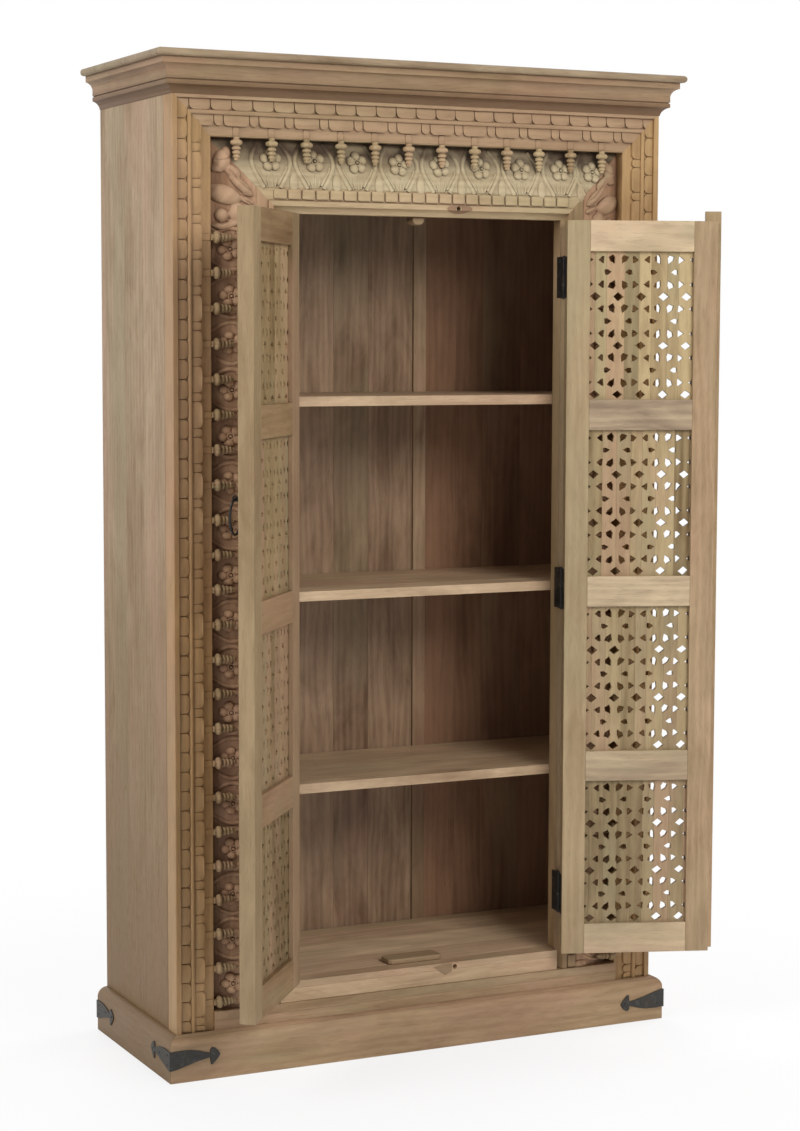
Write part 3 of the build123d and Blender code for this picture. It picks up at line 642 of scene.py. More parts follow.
# ---------------------------------------------------------------- boards

LOW_PAINTED_SHADE = (0.85, 0.0, 1.25)    # painted shade: how the boards that stand on the floor darken towards it, where the light falls off
SIDE = dict(foot=LOW_PAINTED_SHADE, dark=(112, 82, 40))
# Painted shade under the cornice's overhang: its hollows darken within a wide reach of all the pieces, and
# its lower part darkens.
CORNICE = dict(hollows=0.85, reach=0.05, alone=False, moss=0.25, foot=(0.8, 1.738, 1.764), dark=(98, 72, 50))
# Each plain board: its wood, the ways of its grain and across its strips, its seed and what sets it apart.
BOARDS = (
    ("side_panel_left", "side", Z, Y, 1.0, SIDE),
    ("side_panel_right", "side", Z, Y, 3.2, SIDE),
    ("back_rails", "inner", X, Z, 2.0, {}),
    ("back_muntins", "inner", Z, X, 4.0,
     dict(light=(176, 150, 120), dark=(112, 88, 64), foot=(0.7, 0.1, 0.95))),
    ("back_panel_left", "back", Z, X, 5.0, {}),
    ("back_panel_middle", "back", Z, X, 6.3, {}),
    # The right back panel is darker wood, and partly painted shade where the right jamb keeps the key light
    # off it.
    ("back_panel_right", "back", Z, X, 7.1,
     dict(light=(151, 115, 88), dark=(103, 74, 54), contrast=0.4, blush=0.1)),
    # Painted light: the floor board is paler than the other inside boards, as the floor of the case is lit
    # from the front.
    ("floor_board", "inner", X, Y, 8.0, dict(light=(226, 198, 162), dark=(164, 136, 106))),
    ("top_board", "inner", X, Y, 9.0, {}),
    ("plinth_bearer", "inner", Y, Z, 10.0, {}),
    ("shelf_lower", "inner", X, Y, 11.0, {}),
    ("shelf_middle", "inner", X, Y, 12.5, {}),
    ("shelf_upper", "inner", X, Y, 13.1, {}),
    ("plinth_front", "plain", X, Z, 14.0, {}),
    ("plinth_sides", "plain", Y, Z, 15.0, dict(foot=LOW_PAINTED_SHADE)),
    ("cornice_front", "moulded", X, Z, 16.0, CORNICE),
    ("cornice_left", "moulded", Y, Z, 17.0, CORNICE),
    ("cornice_right", "moulded", Y, Z, 18.0, CORNICE),
    ("crown_board", "moulded", X, Y, 19.0, dict(light=(171, 151, 123), blush=0.25)),
    ("outer_rail_bottom", "plain", X, Z, 20.0, {}),
    ("head_rail", "plain", X, Z, 21.0, dict(light=(198, 171, 122), dark=(145, 117, 76))),
    ("sill", "plain", X, Z, 22.0, dict(light=(204, 176, 142), dark=(156, 128, 96))),
    ("door_stops", "turned", X, Y, 23.0, {}),
)
# Painted shade: the left door's stiles are darker, as the door faces away from the key light.
LEFT_STILES_SHADED = dict(light=(156, 134, 102), dark=(112, 90, 62))
# One strip of wood to each rail; the seeds put the joints of the strips between the rails.
RAILS = dict(strip=0.32925, uneven=0.0)
DOOR_BOARDS = (
    ("right", "hinge_stile", 31.0, {}),
    ("right", "free_stile", 32.3, dict(light=(188, 158, 126), blush=0.55, moss=0.25)),
    ("right", "rails", 33.7135,
     dict(RAILS, contrast=0.95, blush=0.3, light=(206, 184, 150), dark=(138, 118, 98))),
    ("left", "hinge_stile", 37.0, LEFT_STILES_SHADED),
    ("left", "free_stile", 38.3, LEFT_STILES_SHADED),
    # Painted shade: the left door's rails are darker, as the door faces away from the key light.
    ("left", "rails", 39.7135, dict(RAILS, contrast=0.6, light=(156, 128, 94), dark=(108, 82, 54))),
)


def softened(node, material, width):
    """A copy of a CAD node with its arrises rubbed round, in place of the node."""
    bm = bmesh.new()
    bm.from_mesh(frame["nodes"][node].data)
    bmesh.ops.remove_doubles(bm, verts=bm.verts, dist=1e-5)
    bmesh.ops.dissolve_limit(bm, angle_limit=math.radians(0.5), verts=bm.verts, edges=bm.edges)
    piece = shaded(node + ".wood", mesh_of(bm, node), node, material, (node,), 38)
    rubbed = piece.modifiers.new("Rubbed Arrises", "BEVEL")
    rubbed.width = width
    rubbed.segments = 2
    rubbed.limit_method = "ANGLE"
    rubbed.angle_limit = math.radians(40)
    rubbed.harden_normals = True


class CabinetBoards(bpy.types.Operator):
    """Softens the arrises of every plain board and gives each its own wood"""
    bl_idname = "cabinet.boards"
    bl_label = "Boards"

    def execute(self, context):
        width = settings("cabinet_carving").edge_round
        for node, wood, along, across, seed, changes in BOARDS:
            softened(node, timber(node, wood, along, across, seed, **changes),
                     width * (3 if node == "door_stops" else 1))
        for hand, part, seed, changes in DOOR_BOARDS:
            node = "door_%s_%s" % (hand, part)
            ways = (door_across(hand), Z) if part == "rails" else (Z, door_across(hand))
            softened(node, timber(node, "door", *ways, seed, **changes), width)
        softened("door_right_astragal", timber("astragal", "door", Z, door_across("right"), 35.0,
                                               light=(184, 158, 122)), width)
        return {"FINISHED"}


# ---------------------------------------------------------------- outer frame

# Heights of a petal's foot, its round end and its root over the front face.
PETAL_GROUND, PETAL_TIP, PETAL_ROOT = -8.2, -2.6, -5
PETAL_TALL = 19
INNER_ROW, OUTER_ROW = 18, 45   # how far out the round ends of each row lie


def petal(wide, tall, tip, fold=0.0):
    """U-shaped petal standing on its ground: its round end at v = 0, its root at v = tall."""
    bm = bmesh.new()
    bmesh.ops.create_grid(bm, x_segments=1, y_segments=1, size=0.5,
                          matrix=Matrix.Translation((0, tall / 2, PETAL_GROUND))
                          @ Matrix.Diagonal((wide, tall, 1, 1)))
    nose = [vert for vert in bm.verts if vert.co.y < tall / 2]
    bmesh.ops.bevel(bm, geom=nose, offset=min(wide * 0.49, tall * 0.44), segments=5, profile=0.5,
                    affect="VERTICES", material=-1)
    drawn = bmesh.ops.extrude_face_region(bm, geom=bm.faces[:])["geom"]
    for vert in of_kind(bmesh.types.BMVert, drawn):
        vert.co.z = tip + (PETAL_ROOT - tip) * vert.co.y / tall
    top = of_kind(bmesh.types.BMFace, drawn)
    bmesh.ops.inset_region(bm, faces=top, thickness=min(1.8, wide * 0.12), depth=0.8, use_even_offset=True)
    if fold:
        for vert in bmesh.ops.poke(bm, faces=top, offset=fold)["verts"]:
            vert.co.y = tall * 0.2
    return outward(bm)


def outer_section():
    """Section of the outer frame with the ground of both petal rows cut down."""
    bead = [(41 - 4 * math.cos(math.pi * i / 8), -3.8 + 2.8 * math.sin(math.pi * i / 8)) for i in range(9)]
    return ([(0, -40), (0, -8.8), (0.8, -8), (18, -8), (23, -6.6), (37, -6.6)] + bead
            + [(45, -6.2), (64, -6.6), (64, -0.9), (64.9, 0), (73.1, 0), (74, -0.9), (74, -40)])


def outer_bar(start, end):
    """A length of the outer frame's moulding, before it is carved."""
    return plate([(start, v, w) for v, w in outer_section()], (end - start, 0, 0))


def add_stem(bm, place):
    """Add the flat stem of a boss, lying on the plain band."""
    add_shape(bm, slab((-5.8, 1.0, -9.0), (5.8, 17.6, -6.4), bevel=0.9, segments=1),
              Matrix.Translation((place, 0, 0)))


def petal_rows(start, end, pitch, boss_pitch, first_boss, wide, narrow, dice):
    """Both rows of petals between two places along a member: the outer row, spread from the middle, and
    the inner one with a wide petal at each boss and a narrow one between two."""
    gap = settings("cabinet_carving").petal_gap / MM
    bm = bmesh.new()

    def askew(place, outwards):
        return Matrix.Translation((place, outwards, 0)) @ turn(dice.uniform(-1, 1))

    count = int((end - start) / pitch) + 2
    for i in range(count):
        place = (start + end) / 2 + pitch * (i - count / 2 + 0.5) + dice.uniform(-0.4, 0.4)
        width = pitch - gap + dice.uniform(-0.5, 0.5)
        tip = PETAL_TIP + dice.uniform(-0.3, 0.2)
        add_shape(bm, petal(width, PETAL_TALL, tip), askew(place, OUTER_ROW))
    for i in range(-2, int((end - start) / boss_pitch) + 3):
        place = first_boss + boss_pitch * i
        if start - 40 < place < end + 60:
            tip = PETAL_TIP + dice.uniform(-0.3, 0.2)
            fold = dice.choice((0.0, -0.9, -0.6))
            add_shape(bm, petal(wide, PETAL_TALL, tip, fold), askew(place, INNER_ROW))
            between = Matrix.Translation((place + boss_pitch / 2, INNER_ROW + 0.6, 0))
            add_shape(bm, petal(narrow, PETAL_TALL - 0.6, tip - 0.5), between)
    return bm


class CabinetOuterFrame(bpy.types.Operator):
    """Runs the outer frame's moulding and carves its two rows of petals"""
    bl_idname = "cabinet.outer_frame"
    bl_label = "Outer Frame"

    def execute(self, context):
        sizes = settings("cabinet_carving")
        dice = random.Random(11)
        edge_x, edge_z = OUTER_EDGE
        # Head, cut to a mitre at both ends.
        pitch = sizes.boss_pitch_top / MM
        middle = (HEAD_BOSSES - 1) / 2
        head = outer_bar(-HEAD_REACH, HEAD_REACH)
        rows = petal_rows(-edge_x - 60, edge_x + 60, sizes.petal_pitch_top / MM, pitch, -middle * pitch,
                          47.5, 16.0, dice)
        add_shape(head, rows)
        for i in range(HEAD_BOSSES):
            add_stem(head, pitch * (i - middle))
        for way in (1, -1):
            cut(head, (way * edge_x, 0, 0), (way, -1, 0))
        # Grime and painted shade in the cuts between the petals.
        stand_in("outer_rail_top", ".carved", placed(head, along_head(edge_z)),
                 timber("outer_rail_top", "carved", X, Z, 40.0, hollows=0.72, reach=0.007, dirt_and_shade=(88, 56, 34),
                        moss=0.3, blush=0.3, light=(168, 144, 112), dark=(128, 102, 74)), 38)
        # Stiles, mitred at the top.
        pitch = sizes.boss_pitch_side / MM
        stile = outer_bar(-STILE_REACH, edge_z)
        highest = edge_z - LOWEST_BOSS - pitch * (SIDE_BOSSES + 1)
        rows = petal_rows(-70, edge_z - PETAL_FOOT - 12, sizes.petal_pitch_side / MM, pitch, highest,
                          45.0, 14.6, dice)
        add_shape(stile, cut(rows, (edge_z - PETAL_FOOT, 0, 0), X))
        for i in range(SIDE_BOSSES):
            add_stem(stile, edge_z - LOWEST_BOSS - pitch * i)
        cut(stile, (0, 0, 0), (-1, -1, 0))
        # Grime and painted shade in the cuts between the petals.
        woods = {hand: timber("outer_stile_" + hand, "carved", Z, X, seed, hollows=0.55, reach=0.004,
                              dirt_and_shade=(98, 64, 36), light=(178, 142, 99), dark=(138, 105, 69))
                 for hand, seed in (("right", 43.0), ("left", 41.0))}
        pair("outer_stile_%s.carved", placed(stile, along_stile(edge_x, edge_z)), "outer_stile_%s", woods, 38,
             stands=True)
        return {"FINISHED"}


# ---------------------------------------------------------------- frieze

def lobe(wide, tall, high, matrix, sides):
    """Low dome for a petal or a bud."""
    bm = bmesh.new()
    bmesh.ops.create_uvsphere(bm, u_segments=sides, v_segments=8, radius=1.0,
                              matrix=matrix @ Matrix.Diagonal((wide, tall, high, 1)))
    bisected(bm, matrix.translation - Vector((0, 0, high * 0.25)), BACK_Z)
    return bm


def flower(degrees):
    """Five round petals about a ringed button, lying flat."""
    bm = bmesh.new()
    for i in range(5):
        add_shape(bm, lobe(8.7, 9.2, 7.0, turn(degrees + 72 * i) @ Matrix.Translation((12.4, 0, 0.4)), 12))
    add_shape(bm, lobe(3.4, 3.4, 7.4, Matrix.Translation((0, 0, 0.8)), 10))
    angles = [math.tau * k / 9 for k in range(10)]
    add_shape(bm, strands([[(6.0 * math.cos(angle), 6.0 * math.sin(angle), 4.0, 1.7) for angle in angles]]))
    return bm


# Lines of a festoon, out from its middle and outwards on the frieze, for half a pitch of 40.
RIBBON = ((15, -1), (21, 9), (29, 24), (35.6, 38), (35.8, 50), (31.5, 62), (24.5, 71), (20, 79))
INNER_RIBBON = ((8.5, -1), (13.5, 9), (20, 20), (26.5, 30), (28.6, 37))
FINGERS = (((0, 0), (0.5, 10), (0, 24)), ((-5.5, 1), (-8, 10), (-9, 20)), ((5.5, 1), (8, 10), (9, 20)))


FLOWER_LEVEL = 46.5             # how far out on the frieze the flowers' middles lie
FLOWERS_TOP = 68                # from the corner down to the stiles' first ribbons


def festoon(centre, half, dice):
    """Ribbons and leaf tips round one flower, and the flower."""
    bm = bmesh.new()
    squeeze = half / 40
    paths = [[(centre + way * u * squeeze, v, 0.3, radius) for u, v in line]
             for way in (-1, 1) for line, radius in ((RIBBON, 4.3), (INNER_RIBBON, 2.6))]
    for line in FINGERS:
        paths.append([(centre + u * squeeze, v, 0.3, r) for (u, v), r in zip(line, (1.4, 2.6, 1.2))])
    # The round ridges are pressed down to flat-topped ones.
    add_shape(bm, strands(paths), Matrix.Diagonal((1, 1, 0.78, 1)))
    add_shape(bm, lobe(8.5 * squeeze, 19, 3.0, Matrix.Translation((centre + half, 8, 0)), 12))
    blossom = flower(dice.uniform(-10, 10) + 18)
    add_shape(bm, blossom, Matrix.Translation((centre, FLOWER_LEVEL + dice.uniform(-1.5, 1.5), 0)))
    return bm


# Lobes of the corner leaf: place out and up from the inner corner, half sizes, tilt and height.
LEAF = ((57, -14, 31, 17, 18, 9.0), (27, 1, 28, 8.5, 41, 8.5), (42, 25, 16, 10, 38, 7.5),
        (60, 44, 15, 20, 10, 8.5), (50, 60, 9, 10, 0, 6.5), (67, 30, 11, 9, 0, 6.0),
        (18, -23, 16, 7, 30, 6.5), (61, -50, 12, 12, 0, 9.0), (58, -68, 27, 9, -12, 6.5),
        (34, -45, 15, 17, 20, 7.0), (67, -86, 16, 8, 0, 5.0))
# Lines cut into it: half width, depth and route.
LEAF_CUTS = ((2.6, 4.5, ((86, 12), (70, 8), (53, 6), (37, -4.5), (24, -16), (7, -22))),
             (1.8, 2.2, ((48, 28), (34, 12), (20, -2), (5, -11))),
             (6.5, 9.0, ((69, 19), (79, 18))),
             (2.4, 5.0, ((72, -40), (75.5, -50), (71, -60), (61, -64.5), (51, -61))),
             (2.2, 4.0, ((86, -66), (72, -74), (58, -79), (42, -78))),
             (1.6, 2.0, ((46, 50), (56, 45), (70, 44))),
             (1.4, 1.8, ((30, -14), (22, -24), (8, -32))))


def merged(bm, grain, rounds):
    """Closed shapes that cross made one smooth shape."""
    holder = linked("rough", mesh_of(bm, "rough"))
    skin = holder.modifiers.new("Skin", "REMESH")
    skin.mode = "VOXEL"
    skin.voxel_size = grain
    bm = taken_from(holder, holder.evaluated_get(bpy.context.evaluated_depsgraph_get()))
    for _ in range(rounds):
        bmesh.ops.smooth_vert(bm, verts=bm.verts, factor=0.5, use_axis_x=True, use_axis_y=True,
                              use_axis_z=True)
    return bm


def scored(bm, cuts):
    """Press rounded lines into a relief."""
    for half, depth, route in cuts:
        stops = [Vector(stop) for stop in route]
        for vert in bm.verts:
            spot = vert.co.xy
            near = half
            for start, end in zip(stops, stops[1:]):
                run = end - start
                share = min(1.0, max(0.0, (spot - start).dot(run) / run.length_squared))
                near = min(near, (spot - start - run * share).length)
            vert.co.z -= depth * (1 - (near / half) ** 2)
    return bm


def corner_leaf():
    """Curled leaf that fills the mitred corner of the frieze, from its inner corner outwards."""
    bm = bmesh.new()
    for out, rise, wide, tall, tilt, high in LEAF:
        bmesh.ops.create_uvsphere(bm, u_segments=32, v_segments=16, radius=1.0,
                                  matrix=Matrix.Translation((out, rise, 0)) @ turn(tilt)
                                  @ Matrix.Diagonal((wide, tall, high, 1)))
    bm = merged(bm, grain=1.3, rounds=3)
    cut(bm, (0, 0, -1.5), BACK_Z)
    # The outer frame closes the leaf off.
    cut(bm, (83.6, 0, 0), X)
    return scored(bm, LEAF_CUTS)


class CabinetFrieze(bpy.types.Operator):
    """Carves the coved frieze with flowers in ribbons and a curled leaf in each corner"""
    bl_idname = "cabinet.frieze"
    bl_label = "Frieze"

    def execute(self, context):
        pitch = settings("cabinet_carving").flower_pitch / MM
        dice = random.Random(5)
        edge_x, edge_z = FRIEZE_EDGE
        ground = Ground("frieze_top", "frieze_left", "frieze_right")
        # Painted shade: the frieze's channels lie in the shade of the frame and the bosses above, so their
        # hollows darken strongly, with grime.
        pale = timber("frieze_top", "frieze", X, Z, 50.0, hollows=0.9, reach=0.03, alone=False, channel=1.0,
                      dirt_and_shade=(54, 36, 30))
        warm = timber("frieze_stiles", "frieze", Z, X, 51.0, hollows=0.88, reach=0.02, alone=False,
                      channel=0.65, dirt_and_shade=(90, 58, 42), light=(192, 156, 124), dark=(134, 100, 72), blush=0.5)
        for node, material in (("frieze_top", pale), ("frieze_left", warm), ("frieze_right", warm)):
            softened(node, material, 0.0004)
        head = bmesh.new()
        step = (2 * edge_x + 5) / HEAD_FLOWERS
        for i in range(HEAD_FLOWERS):
            add_shape(head, festoon(step * (i + 0.5) - edge_x - 11, step / 2, dice))
        # A last flower stands in the right corner, up to the mitre.
        add_shape(head, cut(festoon(edge_x + 20, step / 2, dice), (edge_x - 1, 0, 0), (1, -1, 0)))
        ground.drape(head, along_head(edge_z))
        finished("frieze_top.carving", head, "frieze_top", pale, 60)
        # The stiles' first flower stands below the leaf, the last one clear of the foot.
        stile = bmesh.new()
        for i in range(int((edge_z - CARVING_FOOT - 60) / pitch)):
            add_shape(stile, festoon(FLOWERS_TOP + pitch * (i + 0.5), pitch / 2, dice))
        ground.drape(stile, along_stile(edge_x, edge_z))
        pair("frieze_%s.carving", stile, "frieze_%s", {"right": warm, "left": warm}, 60)
        # Grime and painted shade in the hollows of the corner leaves.
        leafy = timber("corner_leaves", "frieze", (1, 0, 1), (1, 0, -1), 52.0, hollows=0.85, reach=0.014,
                       alone=False, channel=0.45, light=(186, 156, 126), dark=(140, 108, 80), blush=0.5,
                       moss=0.35)
        leaf = outward(ground.drape(corner_leaf(), stood((edge_x, 0, edge_z))))
        pair("corner_leaf_%s", leaf, "frieze_%s", {"right": leafy, "left": leafy}, 180)
        return {"FINISHED"}


# ---------------------------------------------------------------- inner frame

PEARL_TALL, PEARL_HIGH, PEARL_SUNK = 18.5, 3.0, 2.0
PEARL_LEVEL = 32.6              # how far out the row's middle lies
PEARL_GAP = 1.5
PEARL_ROUND = 3.2


def pearl_row(first, last, pitch, dice):
    """A row of soft-cornered beads, longer than they are wide, between two places along a member."""
    count = int((last - first) / pitch)
    step = (last - first) / count
    wide = step - PEARL_GAP
    bm = bmesh.new()
    for i in range(count):
        tall = PEARL_TALL + dice.uniform(-0.6, 0.6)
        bead = slab((-wide / 2, -tall / 2, -PEARL_SUNK), (wide / 2, tall / 2, PEARL_HIGH), PEARL_ROUND, 3)
        place = Matrix.Translation((first + step * (i + 0.5), PEARL_LEVEL, 0))
        add_shape(bm, bead, place @ turn(dice.uniform(-1.5, 1.5)))
    return bm


class CabinetInnerFrame(bpy.types.Operator):
    """Softens the inner frame's moulding and carves its row of pearls"""
    bl_idname = "cabinet.inner_frame"
    bl_label = "Inner Frame"

    def execute(self, context):
        sizes = settings("cabinet_carving")
        pitch = sizes.pearl_pitch / MM
        dice = random.Random(3)
        edge_x, edge_z = OPENING_EDGE
        # Grime and painted shade where the inner frame's moulding and pearls close in.
        soiled_and_shaded = dict(hollows=0.7, reach=0.006, alone=False)
        lintel = timber("lintel", "plain", X, Z, 60.0, light=(190, 168, 132), dark=(146, 122, 90), moss=0.3,
                        **soiled_and_shaded)
        stiles = {hand: timber("inner_stile_" + hand, "plain", Z, X, seed, **soiled_and_shaded)
                  for hand, seed in (("left", 61.0), ("right", 62.0))}
        boards = {"lintel": lintel, "inner_stile_left": stiles["left"], "inner_stile_right": stiles["right"]}
        for node, material in boards.items():
            softened(node, material, sizes.edge_round * 0.6)
        ground = Ground(*boards)
        row = ground.drape(pearl_row(-edge_x - 12, edge_x + 12, pitch, dice), along_head(edge_z))
        finished("lintel.pearls", row, "lintel", lintel, 60)
        row = ground.drape(pearl_row(2, edge_z - CARVING_FOOT, pitch, dice), along_stile(edge_x, edge_z))
        pair("inner_stile_%s.pearls", row, "inner_stile_%s", stiles, 60, hands=("left", "right"))
        return {"FINISHED"}


# ---------------------------------------------------------------- bosses

BOSS_PROFILE = ((0.5, 0.0), (0.5, 5.6), (-3.6, 5.2), (-4.6, 6.4), (-5.6, 9.4), (-7.6, 10.9),
                (-10.2, 11.0), (-12.4, 9.9), (-13.6, 7.2), (-14.6, 4.9), (-15.8, 5.0), (-17.2, 7.4),
                (-19.4, 7.9), (-21.2, 7.0), (-22.2, 4.8), (-23.4, 4.9), (-24.6, 6.9), (-26.6, 7.3),
                (-28.4, 6.3), (-29.4, 4.5), (-30.4, 4.7), (-31.6, 6.1), (-33.6, 6.3), (-35.2, 5.2),
                (-36.2, 4.1), (-39.4, 4.3), (-40.0, 3.6), (-40.0, 0.0))


def boss(sides, dice):
    """Turned boss that points to -X from the frame's inner edge."""
    bm = turned([(place, radius * (1 + dice.uniform(-0.02, 0.02))) for place, radius in BOSS_PROFILE], sides)
    return placed(bm, Matrix.Rotation(dice.uniform(0, 1), 4, "X"))


class CabinetBosses(bpy.types.Operator):
    """Turns the bosses and sets them round the surround"""
    bl_idname = "cabinet.bosses"
    bl_label = "Turned Bosses"

    def execute(self, context):
        sizes = settings("cabinet_carving")
        dice = random.Random(8)
        edge_x, edge_z = OUTER_EDGE
        column = bmesh.new()
        for i in range(SIDE_BOSSES):
            place = (edge_x, BOSS_DEPTH, LOWEST_BOSS + sizes.boss_pitch_side / MM * i)
            add_shape(column, boss(sizes.boss_sides, dice), stood(place))
        # Grime and painted shade in the grooves of the bosses.
        wood = timber("bosses_on_stiles", "turned", X, Z, 70.0, hollows=0.7, reach=0.01)
        pair("bosses_%s.turned", column, "bosses_%s", {"right": wood, "left": wood}, 50, stands=True)
        row = bmesh.new()
        for i in range(HEAD_BOSSES):
            place = (sizes.boss_pitch_top / MM * (i - (HEAD_BOSSES - 1) / 2), BOSS_DEPTH, edge_z)
            add_shape(row, boss(sizes.boss_sides, dice), stood(place, Z, X))
        # Grime and painted shade in the grooves of the bosses.
        stand_in("bosses_top", ".turned", outward(row),
                 timber("bosses_on_head", "turned", Z, X, 71.0, hollows=0.7, reach=0.01,
                        light=(182, 160, 124), dark=(128, 102, 72)), 50)
        return {"FINISHED"}


# ---------------------------------------------------------------- lattice panels

PANEL_WIDE, PANEL_TALL, PANEL_THICK = 194.5, 272.625, 10.0
PANEL_SEAT = 7.0                # how far a panel goes into the grooves round it
PANEL_MIDDLE, PANEL_DEPTH = 142.75, -159.25     # where the panels of a shut door stand
PANEL_FOOT, PANEL_STEP = 211, 329.125           # level of the lowest, and from one to the next
PANEL_ROWS = 12

# Holes, each pointing to +X.
LOZENGE = ((-10.0, 0), (0, 8.0), (10.0, 0), (0, -8.0))
PETAL_CUT = ((8.5, 0.0), (-0.6, 6.2), (-7.6, 5.0), (-8.4, -5.4), (-0.8, -5.8))
KITE = ((6.9, 0.0), (-0.4, 5.2), (-6.0, 4.0), (-6.6, -4.2), (-0.6, -5.0))
ARROW = ((5.8, 0.0), (-1.8, 6.2), (-5.4, 6.2), (-5.4, -6.2), (-1.8, -6.0))


def hole(shape, x, y, degrees, dice, wander):
    """Corners of a hand-cut hole, a little out of true."""
    lean = math.radians(degrees + dice.uniform(-3, 3))
    cos, sin = math.cos(lean), math.sin(lean)
    points = []
    for u, v in shape:
        u += dice.uniform(-wander, wander)
        v += dice.uniform(-wander, wander)
        points.append((x + u * cos - v * sin, y + u * sin + v * cos))
    return points


def petal_holes(pitch, inward):
    """A row through the petals of the flowers, with arrows beside them."""
    row = []
    for side in (-1, 1):
        row += [(PETAL_CUT, side * 2 * pitch + way * pitch / 2, -inward * (90 + way * 26)) for way in (-1, 1)]
        row += [(ARROW, side * columns * pitch, 90 + 90 * side * out)
                for columns, out in ((0.5, 1), (3.5, -1), (4.5, 1))]
    return row


def lattice_holes(pitch, dice, wander):
    """Flowers of petals and kites between rows of lozenges; four rows make one round of the pattern."""
    kites = [(KITE, side * 2 * pitch + way * 19.5, 90 + 90 * way) for side in (-1, 1) for way in (-1, 1)]
    lozenges = [(LOZENGE, n * 2 * pitch, 0) for n in range(-2, 3)]
    rows = (petal_holes(pitch, 1), kites, petal_holes(pitch, -1), lozenges)
    row_pitch = (PANEL_TALL - 24) / (PANEL_ROWS - 1)
    return [hole(shape, x, PANEL_TALL - 15 - row * row_pitch, degrees, dice, wander)
            for row in range(PANEL_ROWS) for shape, x, degrees in rows[row % 4]]


def pierced_board(holes, arris):
    """A board with holes, lying in XY from the middle of its foot."""
    sheet = bpy.data.curves.new("pierced", "CURVE")
    sheet.dimensions = "2D"
    sheet.fill_mode = "BOTH"
    sheet.extrude = PANEL_THICK / 2 - arris
    sheet.bevel_depth = arris
    sheet.bevel_resolution = 0
    sheet.offset = -arris
    reach, low, high = PANEL_WIDE / 2 + PANEL_SEAT, -PANEL_SEAT, PANEL_TALL + PANEL_SEAT
    for points in [[(-reach, low), (reach, low), (reach, high), (-reach, high)]] + holes:
        spline = sheet.splines.new("POLY")
        spline.points.add(len(points) - 1)
        for point, (px, py) in zip(spline.points, points):
            point.co = (px, py, 0, 1)
        spline.use_cyclic_u = True
    bm = taken_from(bpy.data.objects.new("pierced", sheet))
    bmesh.ops.remove_doubles(bm, verts=bm.verts, dist=0.01)
    return outward(bm)


class CabinetLatticePanels(bpy.types.Operator):
    """Cuts the eight pierced panels of the doors"""
    bl_idname = "cabinet.lattice_panels"
    bl_label = "Lattice Panels"

    def execute(self, context):
        sizes = settings("cabinet_lattice")
        # Painted shade: the left door's panels are darker, as the door faces away from the key light.
        for hand, seed, light, dark in (("right", 80, (184, 162, 122), (116, 94, 62)),
                                        ("left", 90, (168, 144, 106), (112, 90, 58))):
            for i in range(4):
                node = "door_%s_lattice_%d" % (hand, i + 1)
                holes = lattice_holes(sizes.column_pitch / MM, random.Random(seed + i), sizes.wander / MM)
                stand = stood((PANEL_MIDDLE, PANEL_DEPTH, PANEL_FOOT + PANEL_STEP * i))
                # The wood is darker towards the foot of the door.
                fade = 0.88 + 0.04 * i
                material = timber(node, "lattice", Z, door_across(hand), seed + i * 1.7, bump=0.0003,
                                  light=[part * fade for part in light], dark=[part * fade for part in dark])
                board = placed(pierced_board(holes, sizes.arris / MM), door_place(hand) @ stand)
                stand_in(node, ".pierced", board, material, 30)
        return {"FINISHED"}


# ---------------------------------------------------------------- ironwork

# Leaves of the hinges: their node, the names of their knuckles and screws, the knuckles' span, the place
# and the way of the screws' heads, and the door.
LEAVES = [("hinge_leaves_fixed", "fixed_knuckles", "hinge_screws_fixed", (-38, -0.2), 285.0, MIRROR, None)]
LEAVES += [("door_%s_hinge_leaves" % hand, "door_%s_knuckles" % hand, "door_%s_hinge_screws" % hand,
            (0.2, 38), 283.0, Matrix(), hand) for hand in ("right", "left")]
SCREWS = ((-27, -157.5), (0, -165.5), (27, -157.5))    # from the middle of a leaf up, and how far back
STRAP = ((0, 16.5), (15, 17.5), (38, 17), (55, 13.5), (68, 9.5), (75, 8.0), (75.5, 14), (78.5, 17.5),
         (84.5, 15.5), (90.5, 10), (94, 4), (90.5, -2), (85, -8), (80, -13), (76.5, -13.5), (75, -0.5),
         (62, -2.5), (45, -6.5), (25, -12), (10, -16), (0, -17.5))
NAILS = ((12, 9), (12, -9), (50, 4.5), (84, 4))
STRAP_X, STRAP_FRONT, STRAP_BACK, STRAP_LEVEL = 506.5, -195.75, 195.75, 41.0
STRAP_THICK, STRAP_HALF = 2, 17.5


def sides_of(hand):
    """Where right-hand ironwork goes: on its door, or on both sides of the case."""
    return (door_place(hand),) if hand else (Matrix(), MIRROR)


def screw_head(radius, angle):
    """Countersunk screw head facing +X: two halves with the slot between them, over its floor."""
    bm = bmesh.new()
    for way in (1, -1):
        half = turned(((-0.6, 0.0), (-0.6, radius), (0.2, radius * 0.9), (0.35, 0.0)), 16)
        add_shape(bm, cut(half, (0, 0, way * 0.4), (0, 0, -way)))
    add_shape(bm, turned(((-0.6, 0.0), (-0.6, radius * 0.85), (-0.2, radius * 0.85), (-0.2, 0.0)), 16))
    return placed(bm, Matrix.Rotation(angle, 4, "X"))


def knuckle(low, high):
    """Round barrel about Z, open for its pin."""
    return placed(turned(((low + 0.3, 2.2), (low, 3.7), (low + 0.4, 4.05), (high - 0.4, 4.05), (high, 3.7),
                          (high - 0.3, 2.2)), 20), UPENDED)


def hinge_pin():
    return placed(turned(((-40, 0), (-40, 1.4), (-39.4, 2.0), (39.4, 2.0), (40, 1.4), (40, 0)), 16), UPENDED)


